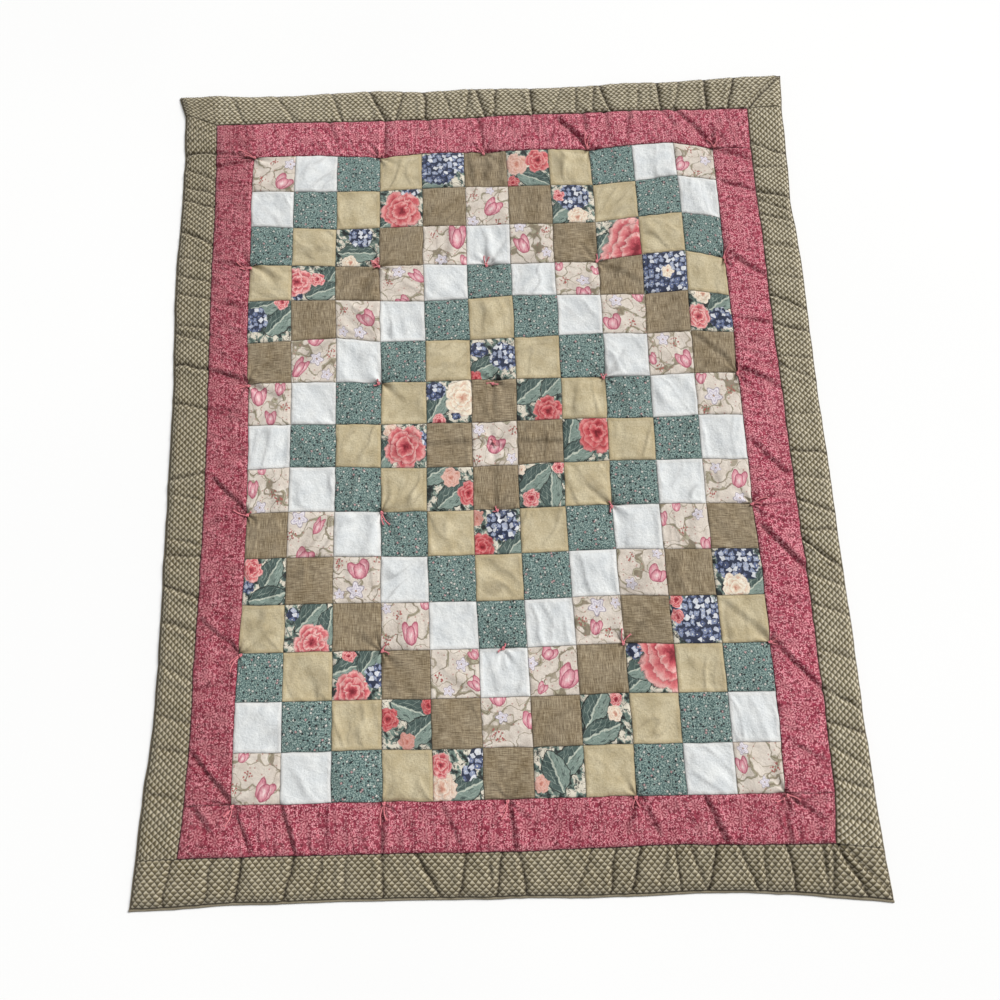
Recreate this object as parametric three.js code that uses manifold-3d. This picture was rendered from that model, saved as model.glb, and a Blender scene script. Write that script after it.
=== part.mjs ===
// A tied patchwork quilt, lying flat and face up as it settles on a floor.
// A centre of 11 by 15 squares is framed by four rose strips and four olive strips. The top, its thin
// batting and the backing are turned out through an opening, so that the backing shows as a narrow lip
// all round, and 31 ties of rose floss hold the layers together. X runs across the quilt, Y along it
// towards the head end, and Z up from the floor. The origin is under the middle.
import * as THREE from "three";
import Module from "manifold-3d";

const wasm = await Module();
wasm.setup();

// Driving dimensions, in millimetres.
const SQUARE_WIDTH = 89;
const SQUARE_LENGTH = 86.5;
const COLUMNS = 11;
const ROWS = 15;
const ROSE_SIDE_STRIP = 80.5;
const ROSE_END_STRIP = 86.25;
const OLIVE_SIDE_STRIP = 75;
const OLIVE_END_STRIP = 80;
const SEAM_GAP = 0.3; // between neighbouring pieces
const BACKING_THICKNESS = 1.2;
const CLOTH_BASE = BACKING_THICKNESS + SEAM_GAP;
const LIP = { top: 1.5, right: 1.5, left: 3, bottom: 5 }; // how far the backing shows past the strips

// Half sizes of the centre, of the rose frame and of the whole quilt, before it is laid down.
const CENTRE_X = (COLUMNS * SQUARE_WIDTH) / 2;
const CENTRE_Y = (ROWS * SQUARE_LENGTH) / 2;
const ROSE_X = CENTRE_X + ROSE_SIDE_STRIP;
const ROSE_Y = CENTRE_Y + ROSE_END_STRIP;
const EDGE_X = ROSE_X + OLIVE_SIDE_STRIP;
const EDGE_Y = ROSE_Y + OLIVE_END_STRIP;

// Loft: how thick the padded top is over the backing, and what pulls it down.
const LOFT = 9;
const TIE_DIMPLE = { depth: 3.2, reach: 20 };
const TIE_SAG = { depth: 2.3, reach: 70 };
const SEAM_DITCH = { depth: 1.6, reach: 7 };
const SQUARE_DITCH = 0.7; // how far a square's seams sink below its middle
const FOLD_REACH = 7; // half width of a crease's trough
const EDGE_ROLL = 14; // the outer edge thins over this distance
const EDGE_THICKNESS = 1.4;

// Ties. Each row: place in squares from the middle of the quilt (across, along), how far the knot lies
// from there in mm, and the direction in degrees and length in mm of its two cut ends.
const TIE_ROWS = [
  [-5.5, 7.5, 1, 0, 155, 34, 172, 20],
  [-2.5, 7.5, -2, 3, 70, 20, 30, 11],
  [0, 7.5, -3, -4, 130, 19, 95, 10],
  [2.5, 7.5, -3, 4, 98, 32, 76, 30],
  [5.5, 7.5, 2, 4, 124, 24, 72, 22],
  [-5.5, 4.5, 1, -6, 155, 30, 185, 19],
  [-2.5, 4.5, -1, 0, 145, 18, 200, 10],
  [0, 4.5, -5, -3, 100, 23, 72, 19],
  [2.5, 4.5, -2, 0, 88, 17, 48, 16],
  [5.5, 4.5, 0, -1, 65, 28, 265, 14],
  [-5.5, 1.5, 2, -5, 205, 27, 178, 18],
  [-2.5, 1.5, -6, -2, 100, 9, 205, 10],
  [0, 1.5, -2, -8, 182, 13, 350, 10],
  [2.5, 1.5, -4, -3, 112, 10, 50, 11],
  [5.5, 1.5, 0, -3, 84, 25, 282, 9],
  [-5.5, -1.5, 2, -3, 158, 27, 40, 10],
  [-2.5, -1.5, 1, -2, 304, 29, 280, 24],
  [0, -1.5, 2, -2, 110, 9, 195, 9],
  [2.5, -1.5, -1, -4, 112, 11, 252, 12],
  [5.5, -1.5, -1, -2, 22, 32, 358, 17],
  [-5.5, -4.5, 4, -4, 241, 34, 218, 24],
  [-2.5, -4.5, 2, -1, 58, 15, 338, 14],
  [0, -4.5, 0, -1, 60, 10, 212, 11],
  [2.5, -4.5, -3, -1, 92, 27, 48, 22],
  [5.5, -4.5, 0, 0, 26, 13, 342, 14],
  [-5.5, -7.5, 3, -3, 252, 34, 230, 20],
  [-2.5, -7.5, 3, -3, 260, 36, 282, 28],
  [0, -7.5, -3, -3, 248, 30, 226, 21],
  [2.5, -7.5, -2, -2, 248, 19, 290, 17],
  [5.5, -7.5, 4, -5, 202, 25, 338, 23],
  [0, 0, -2, 3, 125, 9, 300, 9],
];
const FLOSS_RADIUS = 1.1;
const KNOT_RADIUS = 2.6;
const FLOSS_BENDS = [0.5, 1]; // shares of a cut end at which it meets the cloth

// How the quilt lies: each seam and edge drifts from its ruled line by these millimetres, read at the
// stations along it, left to right on a crosswise line and from the head end down on a lengthwise one.
const ACROSS_STATIONS = [-EDGE_X, -ROSE_X];
for (let column = 0; column <= COLUMNS; column++) ACROSS_STATIONS.push(column * SQUARE_WIDTH - CENTRE_X);
ACROSS_STATIONS.push(ROSE_X, EDGE_X);
const ALONG_STATIONS = [EDGE_Y, ROSE_Y];
for (let row = 0; row <= ROWS; row += 1.5) ALONG_STATIONS.push(CENTRE_Y - row * SQUARE_LENGTH);
ALONG_STATIONS.push(-ROSE_Y, -EDGE_Y);

const LENGTHWISE_LINES = [
  [-EDGE_X, [-18, -4, 2, 2, -2, 1, 8, 9, 11, 11, 13, 10, -1, -6, -10]],
  [-ROSE_X, [-9, -7, -5, -1, -2, 1, 4, 8, 9, 8, 6, 6, 2, -4, -5]],
  [-CENTRE_X, [-8, -7, -6, -6, -4, -3, 2, 9, 10, 10, 5, 3, 3, 3, 4]],
  [-4.5 * SQUARE_WIDTH, [-6, -5, -5, -6, -7, -4, 0, 1, 1, 0, 0, 0, 1, 1, 2]],
  [2.5 * SQUARE_WIDTH, [-6, -6, -4, 0, 0, 1, 0, -2, -4, -1, 4, 7, 8, 7, 8]],
  [4.5 * SQUARE_WIDTH, [-4, -4, -2, 2, 3, 0, -1, -1, -1, 1, 5, 7, 8, 7, 8]],
  [CENTRE_X, [-8, -7, -7, -7, -6, -5, -4, -1, -1, 4, 5, 6, 3, 2, 3]],
  [ROSE_X, [-7, -6, -7, -5, -3, -3, -1, 1, 3, 7, 9, 10, 10, 3, 1]],
  [EDGE_X, [4, -2, -5, -8, -3, -2, -3, 0, 2, 3, 6, 6, 9, 12, 18]],
];
const CROSSWISE_LINES = [
  [EDGE_Y, [-8, -5, -10, -11, -6, -4, -9, -4, -5, -8, -4, 1, 0, 4, 9, 10]],
  [ROSE_Y, [27, -2, -2, -2, -3, -2, -2, 0, 3, 4, 5, 7, 7, 6, 4, 7]],
  [7.5 * SQUARE_LENGTH, [5, 5, 4, 4, 1, -4, 2, 2, 3, 4, 2, 9, 13, -2, -7, -8]],
  [6.5 * SQUARE_LENGTH, [9, 9, 8, 5, 2, 1, 3, 5, 4, 3, 1, 9, 20, 6, -3, -4]],
  [5.5 * SQUARE_LENGTH, [12, 13, 13, 8, 0, 2, 2, 2, 2, 1, 1, 12, 19, 4, -1, -2]],
  [4.5 * SQUARE_LENGTH, [15, 14, 12, 8, 3, 2, 1, -1, -1, -1, 0, 12, 17, 1, -1, -2]],
  [3.5 * SQUARE_LENGTH, [17, 17, 17, 16, 13, 10, 6, 9, 13, 12, 10, 9, 15, 1, 0, -1]],
  [2.5 * SQUARE_LENGTH, [17, 15, 12, 14, 18, 7, 6, 6, 8, 10, 13, 9, 13, 6, 3, 2]],
  [1.5 * SQUARE_LENGTH, [15, 14, 13, 12, 11, 7, 6, 7, 8, 7, 7, 6, 9, 9, 5, 4]],
  [0.5 * SQUARE_LENGTH, [15, 14, 13, 12, 10, 7, 6, 5, 7, 7, 7, 5, 8, 6, 4, 3]],
  [-0.5 * SQUARE_LENGTH, [11, 10, 9, 12, 10, 6, 3, 3, 5, 7, 7, 6, 5, 2, 0, -1]],
  [-3.5 * SQUARE_LENGTH, [10, 9, 9, 8, 7, 6, 4, 4, 3, 5, 7, 2, 1, 0, -1, -1]],
  [-7.5 * SQUARE_LENGTH, [6, 6, 6, 4, 4, 3, 1, 1, 0, 0, -1, -2, -3, -4, -6, -6]],
  [-ROSE_Y, [6, 7, 6, 6, 5, 4, 3, 2, 1, 2, 3, 3, 0, -2, -4, -14]],
  [-EDGE_Y, [4, 4, 8, 8, 8, 7, 7, 4, 4, 1, 1, 3, 1, -5, -13, -22]],
];
// The quilt spreads further from its middle seam towards one end: this brings the origin back under
// the middle of its box.
const HEADWARD = 6;

// The sharper creases of the olive strips: where each starts on the inner seam, where it meets the
// outer edge, and its depth, all in mm. Across for the top and bottom strips, along for the sides.
const OLIVE_CREASES = {
  top: [
    [-405, -445, 2.5], [-303, -328, 2], [-212, -245, 3.5], [-125, -127, 4], [-65, -84, 2],
    [3, -13, 3.5], [24, 33, 3], [106, 103, 4], [202, 203, 2], [237, 242, 2.5], [275, 262, 4],
    [385, 377, 4], [484, 487, 4], [527, 551, 3.5], [574, 634, 3.5],
  ],
  bottom: [
    [-578, -592, 3], [-465, -478, 4], [-375, -390, 4], [-225, -223, 3], [-163, -125, 4],
    [-78, -92, 3], [-15, -27, 3], [16, 27, 3], [140, 108, 2], [180, 168, 3.5], [225, 202, 4],
    [285, 288, 2.5], [358, 338, 4], [400, 420, 2.5], [485, 492, 4], [576, 612, 4],
  ],
  left: [
    [663, 655, 4], [592, 620, 2], [525, 546, 3.5], [436, 472, 3], [308, 326, 2], [246, 258, 2],
    [162, 173, 4], [77, 92, 2.5], [-48, -60, 2], [-210, -206, 2.5], [-288, -262, 3],
    [-440, -402, 1.5], [-640, -620, 1.5],
  ],
  right: [
    [660, 632, 3], [543, 528, 3], [305, 266, 3.5], [237, 216, 3], [150, 108, 2.5], [45, 44, 2],
    [-25, -33, 3], [-122, -152, 3], [-198, -258, 4], [-320, -347, 2], [-470, -512, 3],
    [-530, -556, 3.5], [-625, -645, 2],
  ],
};
// The softer folds of the rose strips, most of them drawn out of a tie, in the same form.
const ROSE_FOLDS = {
  top: [
    [-213, -212, 3], [0, -12, 2.5], [110, 100, 2], [215, 150, 2.5], [262, 262, 1.5], [300, 318, 2],
    [470, 410, 2.5],
  ],
  bottom: [
    [-480, -455, 2], [-395, -376, 3], [-222, -220, 2], [-120, -100, 1.5], [0, 3, 2], [232, 245, 2.5],
    [340, 370, 3], [485, 487, 2.5],
  ],
  left: [
    [620, 625, 3.5], [395, 440, 2], [300, 310, 1.5], [135, 162, 3.5], [65, 86, 2.5], [-120, -76, 3],
    [-385, -352, 2], [-640, -570, 2.5],
  ],
  right: [
    [655, 628, 2], [560, 542, 2.5], [400, 355, 2], [250, 235, 2], [145, 96, 3], [0, -70, 2],
    [-195, -258, 3.5], [-388, -478, 3],
  ],
};

const cloth = (color) => new THREE.MeshStandardMaterial({ color, roughness: 0.95, metalness: 0 });
const PATCHWORK = cloth(0xb7ac93);
const ROSE = cloth(0xb05468);
const OLIVE = cloth(0x8f8566);
const BACKING = cloth(0x9c917f);
const FLOSS = cloth(0xd07a86);

// The value at a place between stations that rise or fall, by straight lines.
function between(stations, values, at) {
  const rising = stations[stations.length - 1] > stations[0];
  let next = 1;
  while (next < stations.length - 1 && (rising ? at > stations[next] : at < stations[next])) next++;
  const share = (at - stations[next - 1]) / (stations[next] - stations[next - 1]);
  return values[next - 1] + (values[next] - values[next - 1]) * share;
}

// Where a point of the ruled quilt comes to lie.
function lie(x, y) {
  const sideways = LENGTHWISE_LINES.map((line) => between(ALONG_STATIONS, line[1], y));
  const endways = CROSSWISE_LINES.map((line) => between(ACROSS_STATIONS, line[1], x));
  const dx = between(LENGTHWISE_LINES.map((line) => line[0]), sideways, x);
  const dy = between(CROSSWISE_LINES.map((line) => line[0]), endways, y);
  return [x + dx, y + dy + HEADWARD];
}

const bump = (distance, reach) => Math.exp(-((distance / reach) ** 2));
const TIES = TIE_ROWS.map(([across, along, dx, dy, angleA, lengthA, angleB, lengthB]) => ({
  x: across * SQUARE_WIDTH,
  y: along * SQUARE_LENGTH,
  dx,
  dy,
  ends: [
    [angleA, lengthA],
    [angleB, lengthB],
  ],
}));

// The trough that a strip's creases leave at a point: along is the place on the strip, and out goes
// from 0 at the strip's inner seam to 1 at its outer one.
function creased(creases, along, out) {
  let depth = 0;
  for (const [inner, outer, deep] of creases)
    depth += deep * bump(along - inner - (outer - inner) * out, FOLD_REACH);
  return depth;
}

function foldsAt(x, y) {
  const side = Math.abs(x);
  const end = Math.abs(y);
  const isEnd = end > ROSE_Y || (end > CENTRE_Y && side < ROSE_X);
  if (!isEnd && side < CENTRE_X) return 0;
  const strip = isEnd ? (y > 0 ? "top" : "bottom") : x < 0 ? "left" : "right";
  const isOlive = isEnd ? end > ROSE_Y : side > ROSE_X;
  const [from, to] = isOlive
    ? isEnd ? [ROSE_Y, EDGE_Y] : [ROSE_X, EDGE_X]
    : isEnd ? [CENTRE_Y, ROSE_Y] : [CENTRE_X, ROSE_X];
  const out = ((isEnd ? end : side) - from) / (to - from);
  return creased((isOlive ? OLIVE_CREASES : ROSE_FOLDS)[strip], isEnd ? x : y, out);
}

// The distance of a point from the outline of a rectangle of these half sizes.
function fromFrame(x, y, halfX, halfY) {
  const outX = Math.abs(x) - halfX;
  const outY = Math.abs(y) - halfY;
  if (outX > 0 && outY > 0) return Math.hypot(outX, outY);
  return Math.abs(Math.max(outX, outY));
}

// The top's height over the backing, at a point of the ruled quilt.
function thickness(x, y) {
  let height = LOFT;
  for (const tie of TIES) {
    const distance = Math.hypot(x - tie.x, y - tie.y);
    height -= TIE_DIMPLE.depth * bump(distance, TIE_DIMPLE.reach);
    height -= TIE_SAG.depth * bump(distance, TIE_SAG.reach);
  }
  height -= SEAM_DITCH.depth * bump(fromFrame(x, y, ROSE_X, ROSE_Y), SEAM_DITCH.reach);
  height -= (SEAM_DITCH.depth / 2) * bump(fromFrame(x, y, CENTRE_X, CENTRE_Y), SEAM_DITCH.reach);
  if (Math.abs(x) < CENTRE_X && Math.abs(y) < CENTRE_Y) {
    const acrossSquare = Math.sin((Math.PI * (x + CENTRE_X)) / SQUARE_WIDTH);
    const alongSquare = Math.sin((Math.PI * (y + CENTRE_Y)) / SQUARE_LENGTH);
    height -= SQUARE_DITCH * (1 - Math.abs(acrossSquare * alongSquare));
  }
  height -= foldsAt(x, y);
  const inFromEdge = Math.max(0, Math.min(EDGE_X - Math.abs(x), EDGE_Y - Math.abs(y)));
  const full = Math.sqrt(Math.min(1, inFromEdge / EDGE_ROLL));
  return Math.max(EDGE_THICKNESS, EDGE_THICKNESS + (height - EDGE_THICKNESS) * full);
}

// A closed padded piece from a grid of ruled points: its top follows the cloth, its walls drop
// straight down, and its underside is flat on the backing.
function paddedGeometry(grid) {
  const last = grid.length - 1;
  const wide = grid[0].length - 1;
  const positions = [];
  const top = grid.map((line) =>
    line.map(([x, y]) => {
      const [lieX, lieY] = lie(x, y);
      positions.push(lieX, lieY, CLOTH_BASE + thickness(x, y));
      return positions.length / 3 - 1;
    }),
  );
  const rim = [];
  for (let i = 0; i < last; i++) rim.push([i, 0]);
  for (let j = 0; j < wide; j++) rim.push([last, j]);
  for (let i = last; i > 0; i--) rim.push([i, wide]);
  for (let j = wide; j > 0; j--) rim.push([0, j]);
  const under = grid.map(() => []);
  for (const [i, j] of rim) {
    const vertex = top[i][j] * 3;
    positions.push(positions[vertex], positions[vertex + 1], CLOTH_BASE);
    under[i][j] = positions.length / 3 - 1;
  }
  const faces = [];
  for (let i = 0; i < last; i++)
    for (let j = 0; j < wide; j++) {
      faces.push([top[i][j], top[i + 1][j], top[i + 1][j + 1]]);
      faces.push([top[i][j], top[i + 1][j + 1], top[i][j + 1]]);
    }
  rim.forEach(([i, j], at) => {
    const [nextI, nextJ] = rim[(at + 1) % rim.length];
    faces.push([under[i][j], under[nextI][nextJ], top[nextI][nextJ]]);
    faces.push([under[i][j], top[nextI][nextJ], top[i][j]]);
  });
  for (let i = 1; i < last - 1; i++) {
    faces.push([under[i][0], under[i + 1][wide], under[i + 1][0]]);
    faces.push([under[i][0], under[i][wide], under[i + 1][wide]]);
  }
  for (let j = 0; j < wide; j++) {
    faces.push([under[1][0], under[0][j], under[0][j + 1]]);
    faces.push([under[last - 1][wide], under[last][j + 1], under[last][j]]);
  }
  faces.push([under[1][0], under[0][wide], under[1][wide]]);
  faces.push([under[last - 1][wide], under[last][0], under[last - 1][0]]);
  return closedGeometry(positions, faces);
}

// A geometry from shared vertices and triangles, turned so that its faces point out.
function closedGeometry(positions, faces) {
  let sixVolumes = 0;
  const corner = (vertex) => new THREE.Vector3().fromArray(positions, vertex * 3);
  for (const [a, b, c] of faces) sixVolumes += corner(a).dot(corner(b).cross(corner(c)));
  const facing = sixVolumes > 0 ? faces : faces.map(([a, b, c]) => [a, c, b]);
  const geometry = new THREE.BufferGeometry();
  geometry.setAttribute("position", new THREE.Float32BufferAttribute(positions, 3));
  geometry.setIndex(facing.flat());
  geometry.computeVertexNormals();
  return geometry;
}

function piece(name, geometry, material) {
  const mesh = new THREE.Mesh(geometry, material);
  mesh.name = name;
  return mesh;
}

// The patchwork centre: two cells to a square each way, so that squares can puff and ties can pull.
function patchworkCentre() {
  const halfX = CENTRE_X - SEAM_GAP / 2;
  const halfY = CENTRE_Y - SEAM_GAP / 2;
  const grid = [];
  for (let row = 0; row <= ROWS * 2; row++) {
    const y = THREE.MathUtils.clamp(CENTRE_Y - (row * SQUARE_LENGTH) / 2, -halfY, halfY);
    const line = [];
    for (let column = 0; column <= COLUMNS * 2; column++)
      line.push([THREE.MathUtils.clamp((column * SQUARE_WIDTH) / 2 - CENTRE_X, -halfX, halfX), y]);
    grid.push(line);
  }
  return piece("patchwork_centre", paddedGeometry(grid), PATCHWORK);
}

// A strip's grid. stations are places along its inner seam, outerAt gives each one's place on the
// outer edge, and inner, outer are the strip's two edges as distances from the quilt's middle.
function stripGrid(side, stations, outerAt, inner, outer, shares) {
  const sign = side === "top" || side === "right" ? 1 : -1;
  const isEnd = side === "top" || side === "bottom";
  return stations.map((station) =>
    shares.map((share) => {
      const along = station + (outerAt(station) - station) * share;
      const out = sign * (inner + (outer - inner) * share);
      return isEnd ? [along, out] : [out, along];
    }),
  );
}

// The places along a strip from -half to half: the drift stations, and whatever else is asked for.
function placesAlong(isEnd, half, more) {
  const kept = [...(isEnd ? ACROSS_STATIONS : ALONG_STATIONS), ...more]
    .filter((place) => Math.abs(place) < half - 2)
    .sort((a, b) => a - b);
  const places = [-half];
  for (const place of kept) if (place - places[places.length - 1] > 1) places.push(place);
  places.push(half);
  return places;
}

function roseStrip(side) {
  const isEnd = side === "top" || side === "bottom";
  const half = (isEnd ? ROSE_X : CENTRE_Y) - SEAM_GAP / 2;
  const [inner, outer] = isEnd ? [CENTRE_Y, ROSE_Y] : [CENTRE_X, ROSE_X];
  const foldPlaces = ROSE_FOLDS[side].map(([from, to]) => (from + to) / 2);
  const grid = stripGrid(
    side,
    placesAlong(isEnd, half, foldPlaces),
    (station) => station,
    inner + SEAM_GAP / 2,
    outer - SEAM_GAP / 2,
    [0, 0.3, 0.65, 1],
  );
  return piece("rose_strip_" + side, paddedGeometry(grid), ROSE);
}

// An olive strip has a line of vertices in each crease and one on each shoulder of it, which slant
// with the crease. The top and bottom strips run the full width, and the side strips butt on them.
function oliveStrip(side) {
  const isEnd = side === "top" || side === "bottom";
  const half = isEnd ? EDGE_X - LIP.right : ROSE_Y - SEAM_GAP / 2;
  const [inner, outer] = isEnd ? [ROSE_Y, EDGE_Y] : [ROSE_X, EDGE_X];
  const creases = [...OLIVE_CREASES[side]].sort((a, b) => a[0] - b[0]);
  const slantFrom = [-half, ...creases.map((crease) => crease[0]), half];
  const slantTo = [-half, ...creases.map((crease) => crease[1]), half];
  const creasePlaces = creases.flatMap(([from]) => [from - FOLD_REACH, from, from + FOLD_REACH]);
  const grid = stripGrid(
    side,
    placesAlong(isEnd, half, creasePlaces),
    (station) => between(slantFrom, slantTo, station),
    inner + SEAM_GAP / 2,
    outer - LIP[side],
    [0, 0.3, 0.72, 0.93, 1],
  );
  return piece("olive_strip_" + side, paddedGeometry(grid), OLIVE);
}

// The backing: one flat sheet under everything, with the quilt's outline.
function backing() {
  const outline = [];
  for (const x of ACROSS_STATIONS.slice(0, -1)) outline.push(lie(x, EDGE_Y));
  for (const y of ALONG_STATIONS.slice(0, -1)) outline.push(lie(EDGE_X, y));
  for (const x of [...ACROSS_STATIONS].reverse().slice(0, -1)) outline.push(lie(x, -EDGE_Y));
  for (const y of [...ALONG_STATIONS].reverse().slice(0, -1)) outline.push(lie(-EDGE_X, y));
  const positions = [0, 0, 0, 0, 0, BACKING_THICKNESS];
  for (const [x, y] of outline) positions.push(x, y, 0, x, y, BACKING_THICKNESS);
  const faces = [];
  outline.forEach((_, at) => {
    const here = 2 + 2 * at;
    const next = 2 + 2 * ((at + 1) % outline.length);
    faces.push([0, here, next], [1, next + 1, here + 1]);
    faces.push([here, here + 1, next + 1], [here, next + 1, next]);
  });
  return piece("backing", closedGeometry(positions, faces), BACKING);
}

function fromSolid(solid) {
  const mesh = solid.getMesh();
  const geometry = new THREE.BufferGeometry();
  geometry.setAttribute("position", new THREE.BufferAttribute(mesh.vertProperties, 3));
  geometry.setIndex(new THREE.BufferAttribute(mesh.triVerts, 1));
  geometry.computeVertexNormals();
  return geometry;
}

// The six outermost points of a bead of floss: two beads and the skin around them make a straight run.
function bead(x, y, z, radius) {
  return [
    [x - radius, y, z],
    [x + radius, y, z],
    [x, y - radius, z],
    [x, y + radius, z],
    [x, y, z - radius],
    [x, y, z + radius],
  ];
}

// A tie: a small flat knot over the seam crossing, with two cut ends of floss lying on the cloth.
function tie(tieData, number, surfaceAt) {
  const [lieX, lieY] = lie(tieData.x, tieData.y);
  const knotX = lieX + tieData.dx;
  const knotY = lieY + tieData.dy;
  const knotZ = surfaceAt(knotX, knotY, KNOT_RADIUS) + KNOT_RADIUS + SEAM_GAP;
  const runs = [];
  for (const [angle, length] of tieData.ends) {
    const turn = THREE.MathUtils.degToRad(angle);
    let last = bead(knotX, knotY, knotZ, KNOT_RADIUS);
    for (const share of FLOSS_BENDS) {
      const x = knotX + Math.cos(turn) * length * share;
      const y = knotY + Math.sin(turn) * length * share;
      const next = bead(x, y, surfaceAt(x, y, length / 2) + FLOSS_RADIUS + SEAM_GAP, FLOSS_RADIUS);
      runs.push(wasm.Manifold.hull([...last, ...next]));
      last = next;
    }
  }
  const solid = wasm.Manifold.union(runs);
  return piece("tie_" + String(number + 1).padStart(2, "0"), fromSolid(solid), FLOSS);
}

const quilt = new THREE.Group();
quilt.add(backing(), patchworkCentre());
for (const side of ["top", "bottom", "left", "right"]) quilt.add(roseStrip(side), oliveStrip(side));

// The highest point of the cloth within reach of a place, found by looking straight down on it.
const clothPieces = [...quilt.children];
const downward = new THREE.Raycaster();
function surfaceAt(x, y, reach) {
  let highest = 0;
  for (const [dx, dy] of [[0, 0], [1, 0], [-1, 0], [0, 1], [0, -1]]) {
    const from = new THREE.Vector3(x + dx * reach, y + dy * reach, 50);
    downward.set(from, new THREE.Vector3(0, 0, -1));
    const hits = downward.intersectObjects(clothPieces);
    if (hits.length) highest = Math.max(highest, hits[0].point.z);
  }
  return highest;
}
TIES.forEach((tieData, number) => quilt.add(tie(tieData, number, surfaceAt)));

export default quilt;
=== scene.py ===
"""A tied patchwork quilt, spread face up on a pale floor: its looks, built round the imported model."""

import math

import bpy
import numpy as np
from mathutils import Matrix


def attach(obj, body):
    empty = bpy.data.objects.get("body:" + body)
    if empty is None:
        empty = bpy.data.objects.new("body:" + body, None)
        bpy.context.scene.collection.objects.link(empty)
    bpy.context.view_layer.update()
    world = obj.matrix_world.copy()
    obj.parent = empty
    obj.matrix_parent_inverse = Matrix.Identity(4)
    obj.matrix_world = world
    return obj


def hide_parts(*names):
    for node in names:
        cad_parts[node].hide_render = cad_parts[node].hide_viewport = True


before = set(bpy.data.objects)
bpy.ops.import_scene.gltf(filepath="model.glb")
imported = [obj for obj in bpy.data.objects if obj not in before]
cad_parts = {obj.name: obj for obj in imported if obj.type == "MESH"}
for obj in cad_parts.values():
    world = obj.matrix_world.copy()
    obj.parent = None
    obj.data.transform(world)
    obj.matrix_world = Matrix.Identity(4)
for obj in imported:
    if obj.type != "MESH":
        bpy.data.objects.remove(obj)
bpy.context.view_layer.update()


# ---------------------------------------------------------------------------------------------
# The pieced centre: 165 squares of quilting cotton, six fabrics set in diamond rings round the
# middle square. They are machine sewn edge to edge, laid on thin batting and tied down, so each
# square puffs between its seams and wrinkles where the ties pull. Sizes here are in millimetres.
# ---------------------------------------------------------------------------------------------
MM = 0.001
SQUARE_WIDTH = 89
SQUARE_LENGTH = 86.5
COLUMNS = 11
ROWS = 15
ROSE_SIDE_STRIP = 80.5
ROSE_END_STRIP = 86.25
OLIVE_SIDE_STRIP = 75
OLIVE_END_STRIP = 80
SEAM_GAP = 0.3
CLOTH_BASE = 1.5

CENTRE_X = COLUMNS * SQUARE_WIDTH / 2
CENTRE_Y = ROWS * SQUARE_LENGTH / 2
ROSE_X = CENTRE_X + ROSE_SIDE_STRIP
ROSE_Y = CENTRE_Y + ROSE_END_STRIP
EDGE_X = ROSE_X + OLIVE_SIDE_STRIP
EDGE_Y = ROSE_Y + OLIVE_END_STRIP

# How the quilt lies: each seam and edge drifts from its ruled line by these amounts, at stations
# from left to right on a crosswise line and from the head end down on a lengthwise one.
ACROSS_STATIONS = [-EDGE_X, -ROSE_X]
ACROSS_STATIONS += [column * SQUARE_WIDTH - CENTRE_X for column in range(COLUMNS + 1)]
ACROSS_STATIONS += [ROSE_X, EDGE_X]
ALONG_STATIONS = [EDGE_Y, ROSE_Y]
ALONG_STATIONS += [CENTRE_Y - row * 1.5 * SQUARE_LENGTH for row in range(11)]
ALONG_STATIONS += [-ROSE_Y, -EDGE_Y]
LENGTHWISE_LINES = [
    (-EDGE_X, [-18, -4, 2, 2, -2, 1, 8, 9, 11, 11, 13, 10, -1, -6, -10]),
    (-ROSE_X, [-9, -7, -5, -1, -2, 1, 4, 8, 9, 8, 6, 6, 2, -4, -5]),
    (-CENTRE_X, [-8, -7, -6, -6, -4, -3, 2, 9, 10, 10, 5, 3, 3, 3, 4]),
    (-4.5 * SQUARE_WIDTH, [-6, -5, -5, -6, -7, -4, 0, 1, 1, 0, 0, 0, 1, 1, 2]),
    (2.5 * SQUARE_WIDTH, [-6, -6, -4, 0, 0, 1, 0, -2, -4, -1, 4, 7, 8, 7, 8]),
    (4.5 * SQUARE_WIDTH, [-4, -4, -2, 2, 3, 0, -1, -1, -1, 1, 5, 7, 8, 7, 8]),
    (CENTRE_X, [-8, -7, -7, -7, -6, -5, -4, -1, -1, 4, 5, 6, 3, 2, 3]),
    (ROSE_X, [-7, -6, -7, -5, -3, -3, -1, 1, 3, 7, 9, 10, 10, 3, 1]),
    (EDGE_X, [4, -2, -5, -8, -3, -2, -3, 0, 2, 3, 6, 6, 9, 12, 18]),
]
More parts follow.
